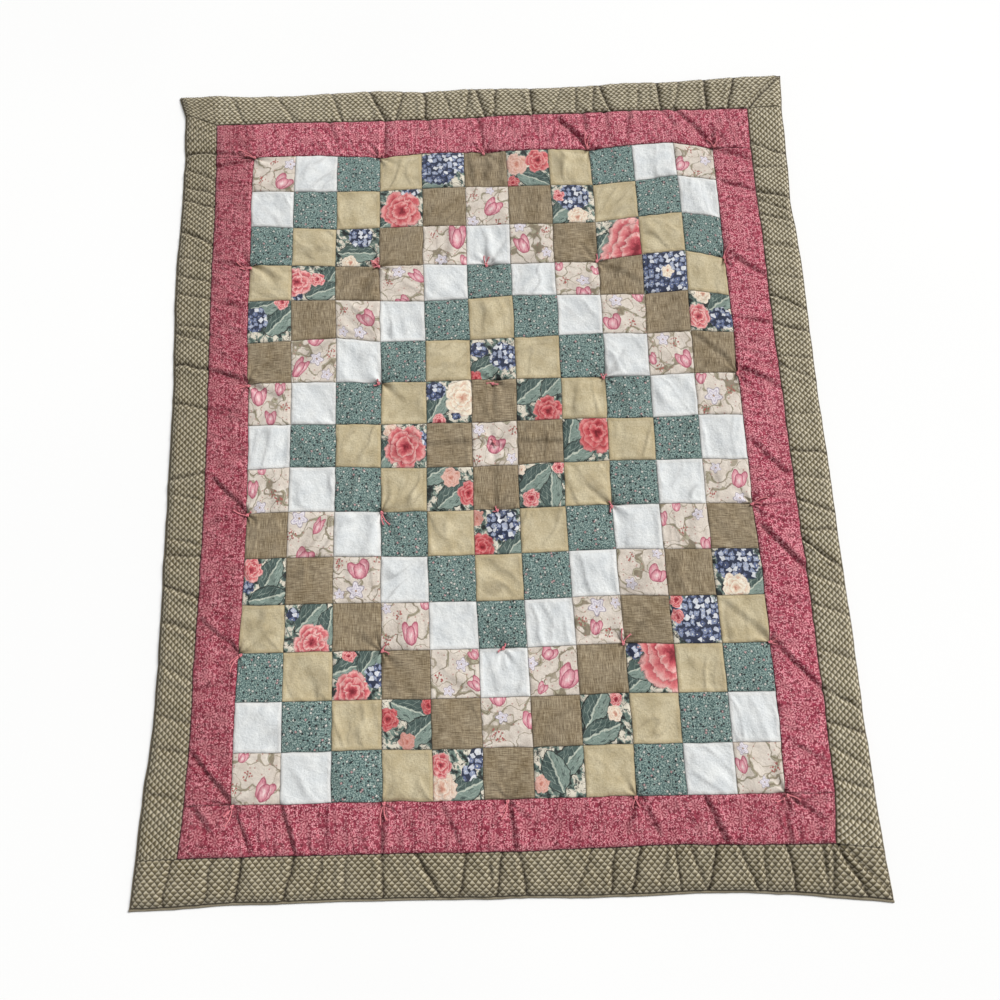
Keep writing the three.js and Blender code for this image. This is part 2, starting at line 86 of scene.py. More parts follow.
CROSSWISE_LINES = [
    (EDGE_Y, [-8, -5, -10, -11, -6, -4, -9, -4, -5, -8, -4, 1, 0, 4, 9, 10]),
    (ROSE_Y, [27, -2, -2, -2, -3, -2, -2, 0, 3, 4, 5, 7, 7, 6, 4, 7]),
    (7.5 * SQUARE_LENGTH, [5, 5, 4, 4, 1, -4, 2, 2, 3, 4, 2, 9, 13, -2, -7, -8]),
    (6.5 * SQUARE_LENGTH, [9, 9, 8, 5, 2, 1, 3, 5, 4, 3, 1, 9, 20, 6, -3, -4]),
    (5.5 * SQUARE_LENGTH, [12, 13, 13, 8, 0, 2, 2, 2, 2, 1, 1, 12, 19, 4, -1, -2]),
    (4.5 * SQUARE_LENGTH, [15, 14, 12, 8, 3, 2, 1, -1, -1, -1, 0, 12, 17, 1, -1, -2]),
    (3.5 * SQUARE_LENGTH, [17, 17, 17, 16, 13, 10, 6, 9, 13, 12, 10, 9, 15, 1, 0, -1]),
    (2.5 * SQUARE_LENGTH, [17, 15, 12, 14, 18, 7, 6, 6, 8, 10, 13, 9, 13, 6, 3, 2]),
    (1.5 * SQUARE_LENGTH, [15, 14, 13, 12, 11, 7, 6, 7, 8, 7, 7, 6, 9, 9, 5, 4]),
    (0.5 * SQUARE_LENGTH, [15, 14, 13, 12, 10, 7, 6, 5, 7, 7, 7, 5, 8, 6, 4, 3]),
    (-0.5 * SQUARE_LENGTH, [11, 10, 9, 12, 10, 6, 3, 3, 5, 7, 7, 6, 5, 2, 0, -1]),
    (-3.5 * SQUARE_LENGTH, [10, 9, 9, 8, 7, 6, 4, 4, 3, 5, 7, 2, 1, 0, -1, -1]),
    (-7.5 * SQUARE_LENGTH, [6, 6, 6, 4, 4, 3, 1, 1, 0, 0, -1, -2, -3, -4, -6, -6]),
    (-ROSE_Y, [6, 7, 6, 6, 5, 4, 3, 2, 1, 2, 3, 3, 0, -2, -4, -14]),
    (-EDGE_Y, [4, 4, 8, 8, 8, 7, 7, 4, 4, 1, 1, 3, 1, -5, -13, -22]),
]
HEADWARD = 6  # how far the whole quilt lies towards its head end
SEAM_WAVE = 0.9  # how far sewing and washing pull a seam off its line between the stations

# Where the quilt is tied down. Each row: the place in squares from the middle (across, along), how
# far the knot lies from there, and the direction in degrees and the length of its two cut ends.
TIE_ROWS = [
    (-5.5, 7.5, 1, 0, 155, 34, 172, 20),
    (-2.5, 7.5, -2, 3, 70, 20, 30, 11),
    (0, 7.5, -3, -4, 130, 19, 95, 10),
    (2.5, 7.5, -3, 4, 98, 32, 76, 30),
    (5.5, 7.5, 2, 4, 124, 24, 72, 22),
    (-5.5, 4.5, 1, -6, 155, 30, 185, 19),
    (-2.5, 4.5, -1, 0, 145, 18, 200, 10),
    (0, 4.5, -5, -3, 100, 23, 72, 19),
    (2.5, 4.5, -2, 0, 88, 17, 48, 16),
    (5.5, 4.5, 0, -1, 65, 28, 265, 14),
    (-5.5, 1.5, 2, -5, 205, 27, 178, 18),
    (-2.5, 1.5, -6, -2, 100, 9, 205, 10),
    (0, 1.5, -2, -8, 182, 13, 350, 10),
    (2.5, 1.5, -4, -3, 112, 10, 50, 11),
    (5.5, 1.5, 0, -3, 84, 25, 282, 9),
    (-5.5, -1.5, 2, -3, 158, 27, 40, 10),
    (-2.5, -1.5, 1, -2, 304, 29, 280, 24),
    (0, -1.5, 2, -2, 110, 9, 195, 9),
    (2.5, -1.5, -1, -4, 112, 11, 252, 12),
    (5.5, -1.5, -1, -2, 22, 32, 358, 17),
    (-5.5, -4.5, 4, -4, 241, 34, 218, 24),
    (-2.5, -4.5, 2, -1, 58, 15, 338, 14),
    (0, -4.5, 0, -1, 60, 10, 212, 11),
    (2.5, -4.5, -3, -1, 92, 27, 48, 22),
    (5.5, -4.5, 0, 0, 26, 13, 342, 14),
    (-5.5, -7.5, 3, -3, 252, 34, 230, 20),
    (-2.5, -7.5, 3, -3, 260, 36, 282, 28),
    (0, -7.5, -3, -3, 248, 30, 226, 21),
    (2.5, -7.5, -2, -2, 248, 19, 290, 17),
    (5.5, -7.5, 4, -5, 202, 25, 338, 23),
    (0, 0, -2, 3, 125, 9, 300, 9),
]

# The loft of the padded top over the backing, and what pulls it down. A pair is depth and reach.
LOFT = 9
TIE_DIMPLE = (3.2, 16)
TIE_SAG = (2.3, 70)
TIE_PUCKER = (2.0, 12, 7)  # height, reach and how many folds run out of a tie
FRAME_DITCH = (1.6, 7)
STITCH_DITCH = (1.7, 2.6)
SQUARE_DITCH = 0.9
SEAM_ALLOWANCE = (0.35, 6.5)  # the turned edges lift the cloth this much, this far from a seam
BATTING_LUMPS = ((1.3, 150, 5), (0.8, 60, 8))  # height, size and seed of its slow rise and fall
LIP = {"top": 1.5, "right": 1.5, "left": 3.5, "bottom": 5}  # how far the backing shows
EDGE_ROLL = 14  # how far in from the lip the top has its full loft
EDGE_THICKNESS = 1.4  # the thinnest the top is, at its turned edge
FOLD_REACH = 5.2  # how far to each side a fold's trough reaches
FOLD_DEEPEN = 2.1  # a fold's trough is this much deeper than its listed depth

# Creases that run over the squares and the rose strips, each from one point to another, with its
# depth. Most are drawn out of a tie.
FOLDS = [
    (-213, 650, -212, 733, 2.6), (0, 650, -12, 733, 2), (100, 738, 110, 690, 1.6),
    (160, 722, 215, 662, 3), (215, 740, 218, 690, 1.5), (260, 740, 265, 690, 1.4),
    (315, 735, 300, 668, 1.8), (380, 738, 410, 690, 1.6), (410, 738, 480, 662, 2.2),
    (490, 700, 486, 656, 2), (-120, 738, -112, 690, 1.2), (-330, 738, -318, 680, 1.4),
    (-570, 626, -494, 645, 2.8), (-572, 662, -492, 650, 1.6), (-560, 395, -494, 388, 1.8),
    (-565, 158, -487, 134, 3), (-565, 78, -505, 68, 1.8), (-555, -62, -490, -126, 2.8),
    (-565, -150, -496, -132, 1.5), (-562, -330, -490, -388, 2.2), (-560, 300, -500, 292, 1.3),
    (-565, -562, -490, -645, 2.8), (-562, -455, -500, -430, 1.3),
    (500, -10, 562, -78, 2), (497, -170, 567, -256, 3), (495, -390, 572, -478, 2.8),
    (495, 140, 565, 100, 2.4), (500, 395, 566, 345, 2), (496, 640, 568, 620, 2),
    (498, 560, 566, 543, 1.8), (500, 250, 565, 236, 1.6), (500, -560, 566, -600, 1.6),
    (-555, -650, -528, -692, 1.8), (-482, -655, -453, -724, 2.2), (-398, -652, -374, -730, 2.8),
    (-322, -655, -318, -722, 1.6), (-222, -652, -224, -730, 2.4), (-120, -655, -86, -728, 1.6),
    (0, -650, 5, -732, 2), (225, -652, 198, -706, 2), (233, -655, 257, -716, 2),
    (340, -652, 372, -730, 2.8), (490, -650, 488, -732, 2), (500, -660, 548, -694, 2),
    (-40, 645, -28, 568, 1.6), (-8, 600, 2, 566, 1.2), (32, 646, 26, 572, 1.2),
    (-2, 60, -2, 124, 1.8), (-132, 0, -48, 5, 1.8), (48, 2, 132, -4, 1.8),
    (-2, -50, -4, -118, 1.2), (226, 384, 300, 330, 1.4), (406, 208, 480, 150, 1.5),
    (412, -316, 484, -378, 1.6), (-480, 386, -424, 350, 1.4), (-480, 130, -424, 96, 1.4),
    (-482, -388, -430, -350, 1.3), (-222, 388, -250, 330, 1.2), (-222, 130, -180, 90, 1.2),
    (-222, -130, -190, -190, 1.3), (0, -130, 30, -180, 1.2), (0, -388, -34, -340, 1.2),
    (222, -388, 260, -350, 1.3), (222, -130, 176, -92, 1.3), (222, 130, 262, 182, 1.2),
    (-222, -388, -268, -420, 1.2), (222, 388, 186, 430, 1.2), (0, 388, 34, 440, 1.3),
]


def between(stations, values, at):
    """Values along rising or falling stations, by straight lines."""
    if stations[-1] < stations[0]:
        stations, values = stations[::-1], values[::-1]
    return np.interp(at, stations, values)


def lie(x, y):
    """Where points of the ruled quilt come to lie."""
    sideways = np.array([between(ALONG_STATIONS, drift, y) for _, drift in LENGTHWISE_LINES])
    endways = np.array([between(ACROSS_STATIONS, drift, x) for _, drift in CROSSWISE_LINES])
    shifts = []
    for lines, drifts, at in ((LENGTHWISE_LINES, sideways, x), (CROSSWISE_LINES, endways, y)):
        shift = np.zeros(np.shape(at))
        for number in range(len(lines)):
            share = [0.0] * len(lines)
            share[number] = 1.0
            shift += between([place for place, _ in lines], share, at) * drifts[number]
        shifts.append(shift)
    wave_x = SEAM_WAVE * (crumple(x, y, 38, 61) + 0.5 * crumple(x, y, 14, 62))
    wave_y = SEAM_WAVE * (crumple(x, y, 38, 63) + 0.5 * crumple(x, y, 14, 64))
    return x + shifts[0] + wave_x, y + shifts[1] + wave_y + HEADWARD


def crumple(x, y, size, seed):
    """Smooth random height from -1 to 1, in lumps of about this size."""
    across, along = x / size, y / size
    column, row = np.floor(across), np.floor(along)
    part_x, part_y = across - column, along - row
    part_x, part_y = part_x**2 * (3 - 2 * part_x), part_y**2 * (3 - 2 * part_y)

    def lump(i, j):
        spread = np.sin(i * 127.1 + j * 311.7 + seed * 74.7) * 43758.5453
        return 2 * (spread - np.floor(spread)) - 1

    near = lump(column, row) * (1 - part_x) + lump(column + 1, row) * part_x
    far = lump(column, row + 1) * (1 - part_x) + lump(column + 1, row + 1) * part_x
    return near * (1 - part_y) + far * part_y


def bump(distance, reach):
    """A soft round hump, 1 in its middle."""
    return np.exp(-((distance / reach) ** 2))


def crease(distance, depth):
    """A fold's trough, sharp at its bottom, with a soft shoulder on one side."""
    trough = np.exp(-np.abs(distance) / FOLD_REACH)
    shoulder = bump(distance + 1.8 * FOLD_REACH, 1.2 * FOLD_REACH)
    return FOLD_DEEPEN * depth * (0.4 * shoulder - trough)


def hollow(distance, depth):
    """The shade painted into a fold's bottom, from 0 to about 1."""
    return depth / 2.3 * np.exp(-np.abs(distance - 0.8) / 1.6)


def from_seams(x, y):
    """The distance of points from the nearest seam."""
    side, end = np.abs(x), np.abs(y)
    far = 1e3
    to_rose_end = np.where(side < ROSE_X, np.abs(end - CENTRE_Y), far)
    to_rose_side = np.where(end < CENTRE_Y, np.abs(side - CENTRE_X), far)
    to_olive_end = np.abs(end - ROSE_Y)
    to_olive_side = np.where(end < ROSE_Y, np.abs(side - ROSE_X), far)
    nearest = np.minimum.reduce([to_rose_end, to_rose_side, to_olive_end, to_olive_side])
    in_x = np.mod(x + CENTRE_X, SQUARE_WIDTH)
    in_y = np.mod(y + CENTRE_Y, SQUARE_LENGTH)
    in_square = np.minimum.reduce([in_x, SQUARE_WIDTH - in_x, in_y, SQUARE_LENGTH - in_y])
    centre = (side < CENTRE_X) & (end < CENTRE_Y)
    return np.where(centre, np.minimum(in_square, nearest), nearest)


def from_frame(x, y, half_x, half_y):
    """The distance of points from a rectangle's outline."""
    out_x, out_y = np.abs(x) - half_x, np.abs(y) - half_y
    outside = (out_x > 0) & (out_y > 0)
    return np.where(outside, np.hypot(out_x, out_y), np.abs(np.maximum(out_x, out_y)))


def loft(x, y, wrinkles=0.0):
    """The top's height over the backing at points of the ruled quilt, and how much shade is painted on
    it there.
    """
    height = np.full(np.shape(x), float(LOFT))
    # The second amount is painted shade: it darkens the colour in the tie dimples, pucker troughs,
    # seams, folds and at the turned edge.
    painted_shading = np.zeros(np.shape(x))
    for number, (across, along, *_) in enumerate(TIE_ROWS):
        tie_x, tie_y = across * SQUARE_WIDTH, along * SQUARE_LENGTH
        gap = np.hypot(x - tie_x, y - tie_y)
        turn = np.arctan2(y - tie_y, x - tie_x)
        height -= TIE_DIMPLE[0] * bump(gap, TIE_DIMPLE[1])
        height -= TIE_SAG[0] * bump(gap, TIE_SAG[1])
        rise, reach, folds = TIE_PUCKER
        wave = np.cos(folds * turn + 1.3 * number + 1.2 * np.sin(2 * turn + number))
        height += rise * wave * (gap / reach) * np.exp(1 - gap / reach) * (gap < 90)
        painted_shading += 0.45 * bump(gap, 7) + 0.3 * np.clip(-wave, 0, 1) * bump(gap, 22)
    outer_seam = from_frame(x, y, ROSE_X, ROSE_Y)
    height -= FRAME_DITCH[0] * bump(outer_seam, FRAME_DITCH[1])
    painted_shading += 0.5 * np.exp(-outer_seam / 1.8)
    height -= FRAME_DITCH[0] / 2 * bump(from_frame(x, y, CENTRE_X, CENTRE_Y), FRAME_DITCH[1])
    centre = (np.abs(x) < CENTRE_X) & (np.abs(y) < CENTRE_Y)
    across_square = np.sin(np.pi * (x + CENTRE_X) / SQUARE_WIDTH)
    along_square = np.sin(np.pi * (y + CENTRE_Y) / SQUARE_LENGTH)
    puff = np.abs(across_square * along_square) ** 0.6
    height -= np.where(centre, SQUARE_DITCH * (1 - puff), 0)
    seam = from_seams(x, y)
    height -= STITCH_DITCH[0] * np.exp(-seam / STITCH_DITCH[1])
    height += SEAM_ALLOWANCE[0] / (1 + np.exp((seam - SEAM_ALLOWANCE[1]) / 0.45))
    height += crumple(x, y, 9, 3) * np.exp(-seam / 9)
    painted_shading += 0.85 * np.exp(-seam / 1.0) * (0.8 + 0.3 * crumple(x, y, 6, 21))
    for from_x, from_y, to_x, to_y, depth in FOLDS:
        run_x, run_y = to_x - from_x, to_y - from_y
        length = math.hypot(run_x, run_y)
        share = ((x - from_x) * run_x + (y - from_y) * run_y) / length**2
        aside = ((x - from_x) * run_y - (y - from_y) * run_x) / length
        fade = np.clip(share / 0.2 + 0.6, 0, 1) * np.clip((1 - share) / 0.2 + 0.6, 0, 1)
        height += np.where(np.abs(aside) < 40, crease(aside, depth) * fade, 0)
        painted_shading += (0.3 * hollow(aside, depth) + 0.07 * depth * bump(aside - 2, 7)) * fade
    for rise, size, seed in BATTING_LUMPS:
        height += rise * crumple(x, y, size, seed)
    height += wrinkles
    in_from_edge = np.minimum.reduce([
        EDGE_Y - y - LIP["top"], EDGE_Y + y - LIP["bottom"],
        EDGE_X + x - LIP["left"], EDGE_X - x - LIP["right"],
    ])
    painted_shading += 0.8 * np.exp(-np.abs(in_from_edge) / 1.2)
    full = np.sqrt(np.clip(in_from_edge, 0, EDGE_ROLL) / EDGE_ROLL)
    rolled = EDGE_THICKNESS + (height - EDGE_THICKNESS) * full
    return np.maximum(EDGE_THICKNESS, rolled), np.clip(painted_shading, 0, 1)


def put_out(name, data):
    """A new object in the scene, at the origin."""
    made = bpy.data.objects.new(name, data)
    bpy.context.scene.collection.objects.link(made)
    return made


def cut_cloth(name, corners, faces, ruled, material):
    """A piece of cloth from its corners in millimetres, with a UV map of its ruled places."""
    mesh = bpy.data.meshes.new(name)
    mesh.from_pydata((corners * MM).tolist(), [], faces)
    mesh.shade_smooth()
    loops = np.zeros(len(mesh.loops), np.int32)
    mesh.loops.foreach_get("vertex_index", loops)
    mesh.uv_layers.new(name="Cloth").data.foreach_set("uv", (ruled[loops] * MM).ravel())
    mesh.materials.append(material)
    return put_out(name, mesh)


def sew(name, patches, material, facts=()):
    """One piece from padded patches: each has a top that follows the cloth, walls and a flat
    underside. A patch is its ruled points x, y in a grid, their wrinkles, the shade painted along
    their creases, and the named facts that its print reads, each the same all over or given point
    by point. The painted shade is kept in a point attribute; walls and undersides get it in full."""
    corners, faces, cloth, painted_shades, spread = [], [], [], [], {fact: [] for fact in facts}
    count = 0
    for patch in patches:
        x, y = patch["x"], patch["y"]
        rows, columns = x.shape
        lie_x, lie_y = lie(x, y)
        height, painted_shading = loft(x, y, patch["wrinkles"])
        painted_shading = np.clip(painted_shading + patch["creased"], 0, 1)
        top = CLOTH_BASE + height
        grid = np.arange(rows * columns).reshape(rows, columns)
        rim = np.concatenate([grid[:-1, 0], grid[-1, :-1], grid[:0:-1, -1], grid[0, :0:-1]])
        tops = np.stack([lie_x, lie_y, top], -1).reshape(-1, 3)
        unders = tops[rim].copy()
        unders[:, 2] = CLOTH_BASE
        corners.append(np.concatenate([tops, unders]))
        ruled = np.stack([x, y], -1).reshape(-1, 2)
        cloth.append(np.concatenate([ruled, ruled[rim]]))
        # Walls and undersides get full painted shade, so the gaps between squares read dark.
        painted_shades.append(np.concatenate([painted_shading.ravel(), np.ones(len(rim))]))
        quads = np.stack([grid[:-1, :-1], grid[1:, :-1], grid[1:, 1:], grid[:-1, 1:]], -1)
        under = np.arange(len(rim)) + rows * columns
        walls = np.stack([rim, under, np.roll(under, -1), np.roll(rim, -1)], -1)
        faces += (quads.reshape(-1, 4) + count).tolist()
        faces += (walls + count).tolist()
        faces.append((under[::-1] + count).tolist())
        for fact in facts:
            values = np.broadcast_to(patch[fact], (rows, columns, 3)).reshape(-1, 3)
            spread[fact].append(np.concatenate([values, values[rim]]))
        count += rows * columns + len(rim)
    piece = cut_cloth(name, np.concatenate(corners), faces, np.concatenate(cloth), material)
    # The painted shade, kept per point for the materials to darken their colour by.
    layer = piece.data.attributes.new("hollow", "FLOAT", "POINT")
    layer.data.foreach_set("value", np.concatenate(painted_shades).astype(np.float32))
    for fact in facts:
        layer = piece.data.attributes.new(fact, "FLOAT_VECTOR", "POINT")
        layer.data.foreach_set("vector", np.concatenate(spread[fact]).astype(np.float32).ravel())
    return piece


class Dye:
    """A value or colour in a cloth's shader. Sums on it add the Math nodes."""

    def __init__(self, fabric, socket):
        self.fabric, self.socket = fabric, socket

    def sum(self, operation, first, second=0.0):
        """Adds one Math node."""
        return self.fabric.node("Math", {"operation": operation}, {0: first, 1: second})

    def __add__(self, other):
        return self.sum("ADD", self, other)

    def __radd__(self, other):
        return self.sum("ADD", other, self)

    def __sub__(self, other):
        return self.sum("SUBTRACT", self, other)

    def __rsub__(self, other):
        return self.sum("SUBTRACT", other, self)

    def __mul__(self, other):
        return self.sum("MULTIPLY", self, other)

    def __rmul__(self, other):
        return self.sum("MULTIPLY", other, self)

    def __truediv__(self, other):
        return self.sum("DIVIDE", self, other)

    def __pow__(self, other):
        return self.sum("POWER", self, other)

    def __abs__(self):
        return self.sum("ABSOLUTE", self)

    def __gt__(self, other):
        return self.sum("GREATER_THAN", self, other)

    def lower(self, other):
        """The lower of the two."""
        return self.sum("MINIMUM", self, other)

    def higher(self, other):
        """The higher of the two."""
        return self.sum("MAXIMUM", self, other)

    def sine(self):
        return self.sum("SINE", self)

    def cosine(self):
        return self.sum("COSINE", self)

    def part(self):
        """What is left past the whole number."""
        return self.sum("FRACT", self)

    def turn(self, across):
        """The direction of a point this far along and that far across."""
        return self.sum("ARCTAN2", self, across)

    def away(self, across):
        """The distance of a point this far along and that far across."""
        return (self * self + across * across) ** 0.5

    def ramp(self, low, high):
        """0 below low, 1 above high, with a soft step between; the other way if low is more."""
        settings = {"interpolation_type": "SMOOTHSTEP"}
        return self.fabric.node("MapRange", settings, {0: self, 1: low, 2: high})

    def within(self, low, high):
        """1 below low, 0 above high, with a soft step between."""
        return 1 - self.ramp(low, high)


def ink(red, green, blue):
    """A dye colour from its 0 to 255 parts."""
    return tuple((part / 255) ** 2.2 for part in (red, green, blue)) + (1.0,)


class Fabric:
    """A cloth's material: a Principled shader whose colour and bump are built from Dye sums."""

    def __init__(self, name, roughness=0.92):
        self.material = bpy.data.materials.new(name)
        self.material.use_nodes = True
        self.tree = self.material.node_tree
        self.shader = self.tree.nodes["Principled BSDF"]
        self.shader.inputs["Roughness"].default_value = roughness
        self.shader.inputs["Specular IOR Level"].default_value = 0.25
        self.shader.inputs["Sheen Weight"].default_value = 0.12
        self.shader.inputs["Sheen Roughness"].default_value = 0.5

    def node(self, kind, settings=None, values=None, output=0):
        """Adds a shader node: its settings, the values or links of its sockets, and which output
        is wanted."""
        made = self.tree.nodes.new("ShaderNode" + kind)
        for setting, value in (settings or {}).items():
            if setting == "stops":
                stops = made.color_ramp.elements
                while len(stops) < len(value):
                    stops.new(1.0)
                for stop, (place, colour) in zip(stops, value):
                    stop.position, stop.color = place, colour
            else:
                setattr(made, setting, value)
        for socket, value in (values or {}).items():
            if isinstance(value, Dye):
                self.tree.links.new(value.socket, made.inputs[socket])
            else:
                made.inputs[socket].default_value = value
        return Dye(self, made.outputs[output])

    def parts(self, vector):
        split = self.node("SeparateXYZ", None, {0: vector})
        outputs = split.socket.node.outputs
        return [Dye(self, outputs[axis]) for axis in range(3)]

    def joined(self, x, y, z=0.0):
        return self.node("CombineXYZ", None, {0: x, 1: y, 2: z})

    def cloth(self):
        """The place on the ruled cloth, in millimetres."""
        x, y, _ = self.parts(self.node("UVMap", {"uv_map": "Cloth"}))
        return x * 1000, y * 1000

    def place(self):
        """The place on the object seen from above, in millimetres."""
        x, y, _ = self.parts(self.node("TexCoord", None, None, "Object"))
        return x * 1000, y * 1000

    def fact(self, name):
        """A fact of the patch, such as where its rose is printed, as three values."""
        return self.parts(self.node("Attribute", {"attribute_name": name}, None, "Vector"))

    def clouds(self, x, y, size, detail=2.0, seed=0.0, rough=0.5):
        """Soft random clouds of about this size, from 0 to 1."""
        values = {"Vector": self.joined(x / size, y / size, seed), "Scale": 1.0}
        values.update({"Detail": detail, "Roughness": rough})
        return self.node("TexNoise", None, values, "Fac")

    def spots(self, x, y, size, seed=0.0, loose=1.0):
        """Scattered spots: how far off the nearest is in shares of size, its own random colour's
        parts, and the way to it."""
        settings = {"voronoi_dimensions": "2D"}
        vector = self.joined(x / size + seed, y / size)
        values = {"Vector": vector, "Scale": 1.0, "Randomness": loose}
        distance = self.node("TexVoronoi", settings, values, "Distance")
        outputs = distance.socket.node.outputs
        luck = self.parts(Dye(self, outputs["Color"]))
        away_x, away_y, _ = self.parts(Dye(self, outputs["Position"]))
        here_x, here_y, _ = self.parts(vector)
        return distance, luck, here_x - away_x, here_y - away_y

    def wander(self, x, y, size, detail, reach):
        """How far a print's lines stray across and along, up to half of reach either way."""
        return [(self.clouds(x, y, size, detail, seed) - 0.5) * reach for seed in (1.0, 5.0)]

    def over(self, under, colour, mask, blend="MIX"):
        """A colour printed over another one where the mask is 1."""
        settings = {"data_type": "RGBA", "blend_type": blend}
        return self.node("Mix", settings, {0: mask, 6: under, 7: colour}, 2)

    def shades(self, value, *stops):
        """A colour ramp: each stop is its place from 0 to 1 and its colour."""
        return self.node("ValToRGB", {"stops": stops}, {0: value}, "Color")

    def finish(self, colour, relief, depth):
        """Wires the colour and the relief, whose full height in metres is depth."""
        self.tree.links.new(colour.socket, self.shader.inputs["Base Color"])
        values = {"Strength": 1.0, "Distance": depth, "Height": relief}
        normal = self.node("Bump", None, values, "Normal")
        self.tree.links.new(normal.socket, self.shader.inputs["Normal"])
        return self.material


def weave(fabric, x, y, thread=1.1):
    """Relief of a plain weave with its slubs and the crinkle that washing leaves, from 0 to 1."""
    turn = 2 * math.pi / thread
    over_under = (x * turn).sine() * (y * turn).sine() * 0.5 + 0.5
    crinkle = fabric.clouds(x, y, 5, 4.0, 7.0, 0.65)
    return over_under * 0.1 + crinkle * 0.9


def worn_and_shaded(fabric, x, y, colour, amount=0.1):
    """The colour a little faded and darkened in soft clouds, as washing leaves it, then darkened by
    painted shade where the cloth dips at folds, seams, ties and edges.
    """
    cloud = fabric.clouds(x, y, 38, 3.0, 11.0)
    darker = fabric.over(colour, ink(70, 60, 55), (cloud * 1.6 - 0.5) * amount)
    faded = fabric.over(darker, ink(250, 246, 238), (0.9 - cloud * 1.2) * amount)
    yarns = fabric.clouds(x, y, 2.2, 3.0, 27.0, 0.75)
    flecked = fabric.over(faded, ink(255, 252, 246), yarns.ramp(0.55, 0.8) * 0.22, "SOFT_LIGHT")
    flecked = fabric.over(flecked, ink(120, 112, 104), yarns.ramp(0.48, 0.25) * 0.3, "MULTIPLY")
    # Painted shade: the colour is darkened where the piece's point attribute says the cloth dips.
    painted_shades = fabric.node("Attribute", {"attribute_name": "hollow"}, None, "Fac")
    return fabric.over(flecked, ink(76, 62, 54), painted_shades * 0.85, "MULTIPLY")


def band(value, low, high, soft):
    """1 where the value is between low and high."""
    return value.ramp(low - soft, low) * value.within(high, high + soft)


def turned_edge(fabric):
    """1 where a thin plain square lies over its own turned edges, which show through it."""
    seam_x, seam_y, _ = fabric.fact("in_square")
    out = (abs(seam_x) - SQUARE_WIDTH / 2).higher(abs(seam_y) - SQUARE_LENGTH / 2)
    return out.ramp(-SEAM_ALLOWANCE[1] - 1, -SEAM_ALLOWANCE[1] + 0.5)


# The white squares: plain muslin, bleached, so thin that its turned edges show through.
def white_muslin():
    fabric = Fabric("white_muslin")
    x, y = fabric.cloth()
    colour = fabric.shades(
        fabric.clouds(x, y, 26, 3.0),
        (0.3, ink(218, 222, 224)), (0.7, ink(236, 238, 237)),
    )
    colour = fabric.over(colour, ink(232, 231, 228), turned_edge(fabric) * 0.5)
    return fabric.finish(worn_and_shaded(fabric, x, y, colour, 0.06), weave(fabric, x, y), 0.0016)


# The yellow squares: plain straw cotton, with its turned edges showing as a deeper band.
def straw_cotton():
    fabric = Fabric("straw_cotton")
    x, y = fabric.cloth()
    colour = fabric.shades(
        fabric.clouds(x, y, 30, 3.0),
        (0.35, ink(192, 177, 142)), (0.65, ink(212, 199, 166)),
    )
    threads = fabric.clouds(x * 6, y, 7, 2.0, 3.0) + fabric.clouds(x, y * 6, 7, 2.0, 4.0)
    colour = fabric.over(colour, ink(160, 142, 106), threads.ramp(0.9, 1.3) * 0.45)
    colour = fabric.over(colour, ink(184, 165, 124), turned_edge(fabric) * 0.4)
    return fabric.finish(worn_and_shaded(fabric, x, y, colour, 0.08), weave(fabric, x, y), 0.0016)


# The brown squares: taupe cotton and linen of uneven yarn, crosshatched by its slubs.
def brown_slub():
    fabric = Fabric("brown_slub")
    x, y = fabric.cloth()
    upright = fabric.clouds(x * 16, y, 20, 3.0, 1.0, 0.6)
    level = fabric.clouds(x, y * 16, 20, 3.0, 2.0, 0.6)
    _, _, luck = fabric.fact("in_square")
    more_level = (luck > 0.5) * 0.3
    hatch = upright * (0.65 - more_level) + level * (more_level + 0.35)
    colour = fabric.shades(
        hatch,
        (0.38, ink(98, 82, 58)), (0.5, ink(138, 121, 94)), (0.62, ink(178, 162, 134)),
    )
    relief = weave(fabric, x, y, 1.6) * 0.7 + hatch * 0.3
    return fabric.finish(worn_and_shaded(fabric, x, y, colour, 0.12), relief, 0.0016)


# The teal squares: calico in soft blue green, speckled, with tiny blossoms and dark dots.
def teal_calico():
    fabric = Fabric("teal_calico")
    x, y = fabric.cloth()
    speckle = fabric.clouds(x, y, 2.6, 2.0, 1.0, 0.7)
    colour = fabric.shades(
        speckle,
        (0.38, ink(52, 74, 75)), (0.5, ink(94, 119, 116)), (0.62, ink(158, 180, 174)),
    )
    twig, luck, _, _ = fabric.spots(x, y, 5.5, 3.0)
    colour = fabric.over(colour, ink(164, 184, 172), twig.within(0.16, 0.24) * (luck[0] > 0.45) * 0.7)
    blossom, luck, away_x, away_y = fabric.spots(x, y, 17, 9.0)
    petals = blossom + (away_y.turn(away_x) * 4 + luck[2] * 6).cosine() * 0.04
    pink = fabric.over(ink(220, 218, 210), ink(198, 158, 158), luck[0] > 0.75)
    colour = fabric.over(colour, ink(50, 62, 62), petals.within(0.15, 0.2) * 0.7)
    colour = fabric.over(colour, pink, petals.within(0.08, 0.12))
    dots, luck, _, _ = fabric.spots(x, y, 12, 31.0)
    colour = fabric.over(colour, ink(38, 44, 48), dots.within(0.13, 0.19) * (luck[1] > 0.35))
    specks, luck, _, _ = fabric.spots(x, y, 4.4, 57.0)
    colour = fabric.over(colour, ink(206, 214, 206), specks.within(0.12, 0.2) * (luck[0] > 0.7) * 0.8)
    return fabric.finish(worn_and_shaded(fabric, x, y, colour, 0.06), weave(fabric, x, y), 0.0014)


